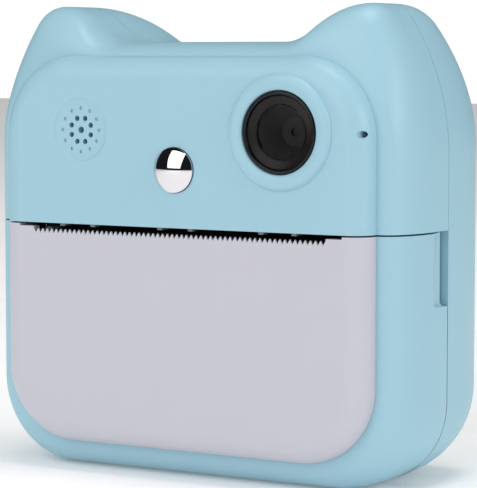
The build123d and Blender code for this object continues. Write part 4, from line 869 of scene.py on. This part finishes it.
def area_light(name, place, aim, size, power):
    """Rectangular lamp at a place, turned towards an aim, with its power in watts."""
    data = bpy.data.lights.new(name, "AREA")
    data.shape = "RECTANGLE"
    data.size, data.size_y = size
    data.energy = power
    light = bpy.data.objects.new(name, data)
    bpy.context.scene.collection.objects.link(light)
    light.location = place
    light.rotation_euler = (Vector(aim) - Vector(place)).to_track_quat("-Z", "Y").to_euler()


def light_studio():
    """White room for the eye, softer for the light, and dark in reflections but for the lamps."""
    world = bpy.data.worlds.new("soft room")
    bpy.context.scene.world = world
    world.use_nodes = True
    tree = world.node_tree
    soft = tree.nodes["Background"]
    soft.inputs["Color"].default_value = (1, 1, 1, 1)
    soft.inputs["Strength"].default_value = 0.48
    white = add_node(tree, "ShaderNodeBackground", Color=(1, 1, 1, 1), Strength=1.05)
    dark = add_node(tree, "ShaderNodeBackground", Color=(0.012, 0.012, 0.014, 1), Strength=1.0)
    path = tree.nodes.new("ShaderNodeLightPath")
    reflected = tree.nodes.new("ShaderNodeMixShader")
    seen = tree.nodes.new("ShaderNodeMixShader")
    link(tree, path, "Is Glossy Ray", reflected, 0)
    link(tree, soft, 0, reflected, 1)
    link(tree, dark, 0, reflected, 2)
    link(tree, path, "Is Camera Ray", seen, 0)
    link(tree, reflected, 0, seen, 1)
    link(tree, white, 0, seen, 2)
    link(tree, seen, 0, tree.nodes["World Output"], "Surface")
    centre = (0, 0, 0.04)
    area_light("window light", (-0.22, -0.90, 0.60), centre, (0.95, 1.05), 5.2)
    area_light("top light", (0.15, 0.0, 1.2), centre, (0.5, 0.5), 4.2)
    area_light("side light", (1.1, -0.1, 0.45), centre, (0.5, 0.5), 3.6)


def place_camera():
    """View from the front right, a little above the middle."""
    data = bpy.data.cameras.new("camera")
    data.sensor_fit = "HORIZONTAL"
    data.sensor_width = 36.0
    data.lens = 173.6
    camera = bpy.data.objects.new("camera", data)
    bpy.context.scene.collection.objects.link(camera)
    yaw, pitch = radians(30.5), radians(4.68)
    look = Vector((-sin(yaw) * cos(pitch), cos(yaw) * cos(pitch), -sin(pitch)))
    camera.location = (0.2163, -0.3640, 0.0762)
    camera.rotation_euler = look.to_track_quat("-Z", "Y").to_euler()
    bpy.context.scene.camera = camera


lay_floor()
light_studio()
place_camera()
bpy.context.scene.view_settings.view_transform = "Standard"
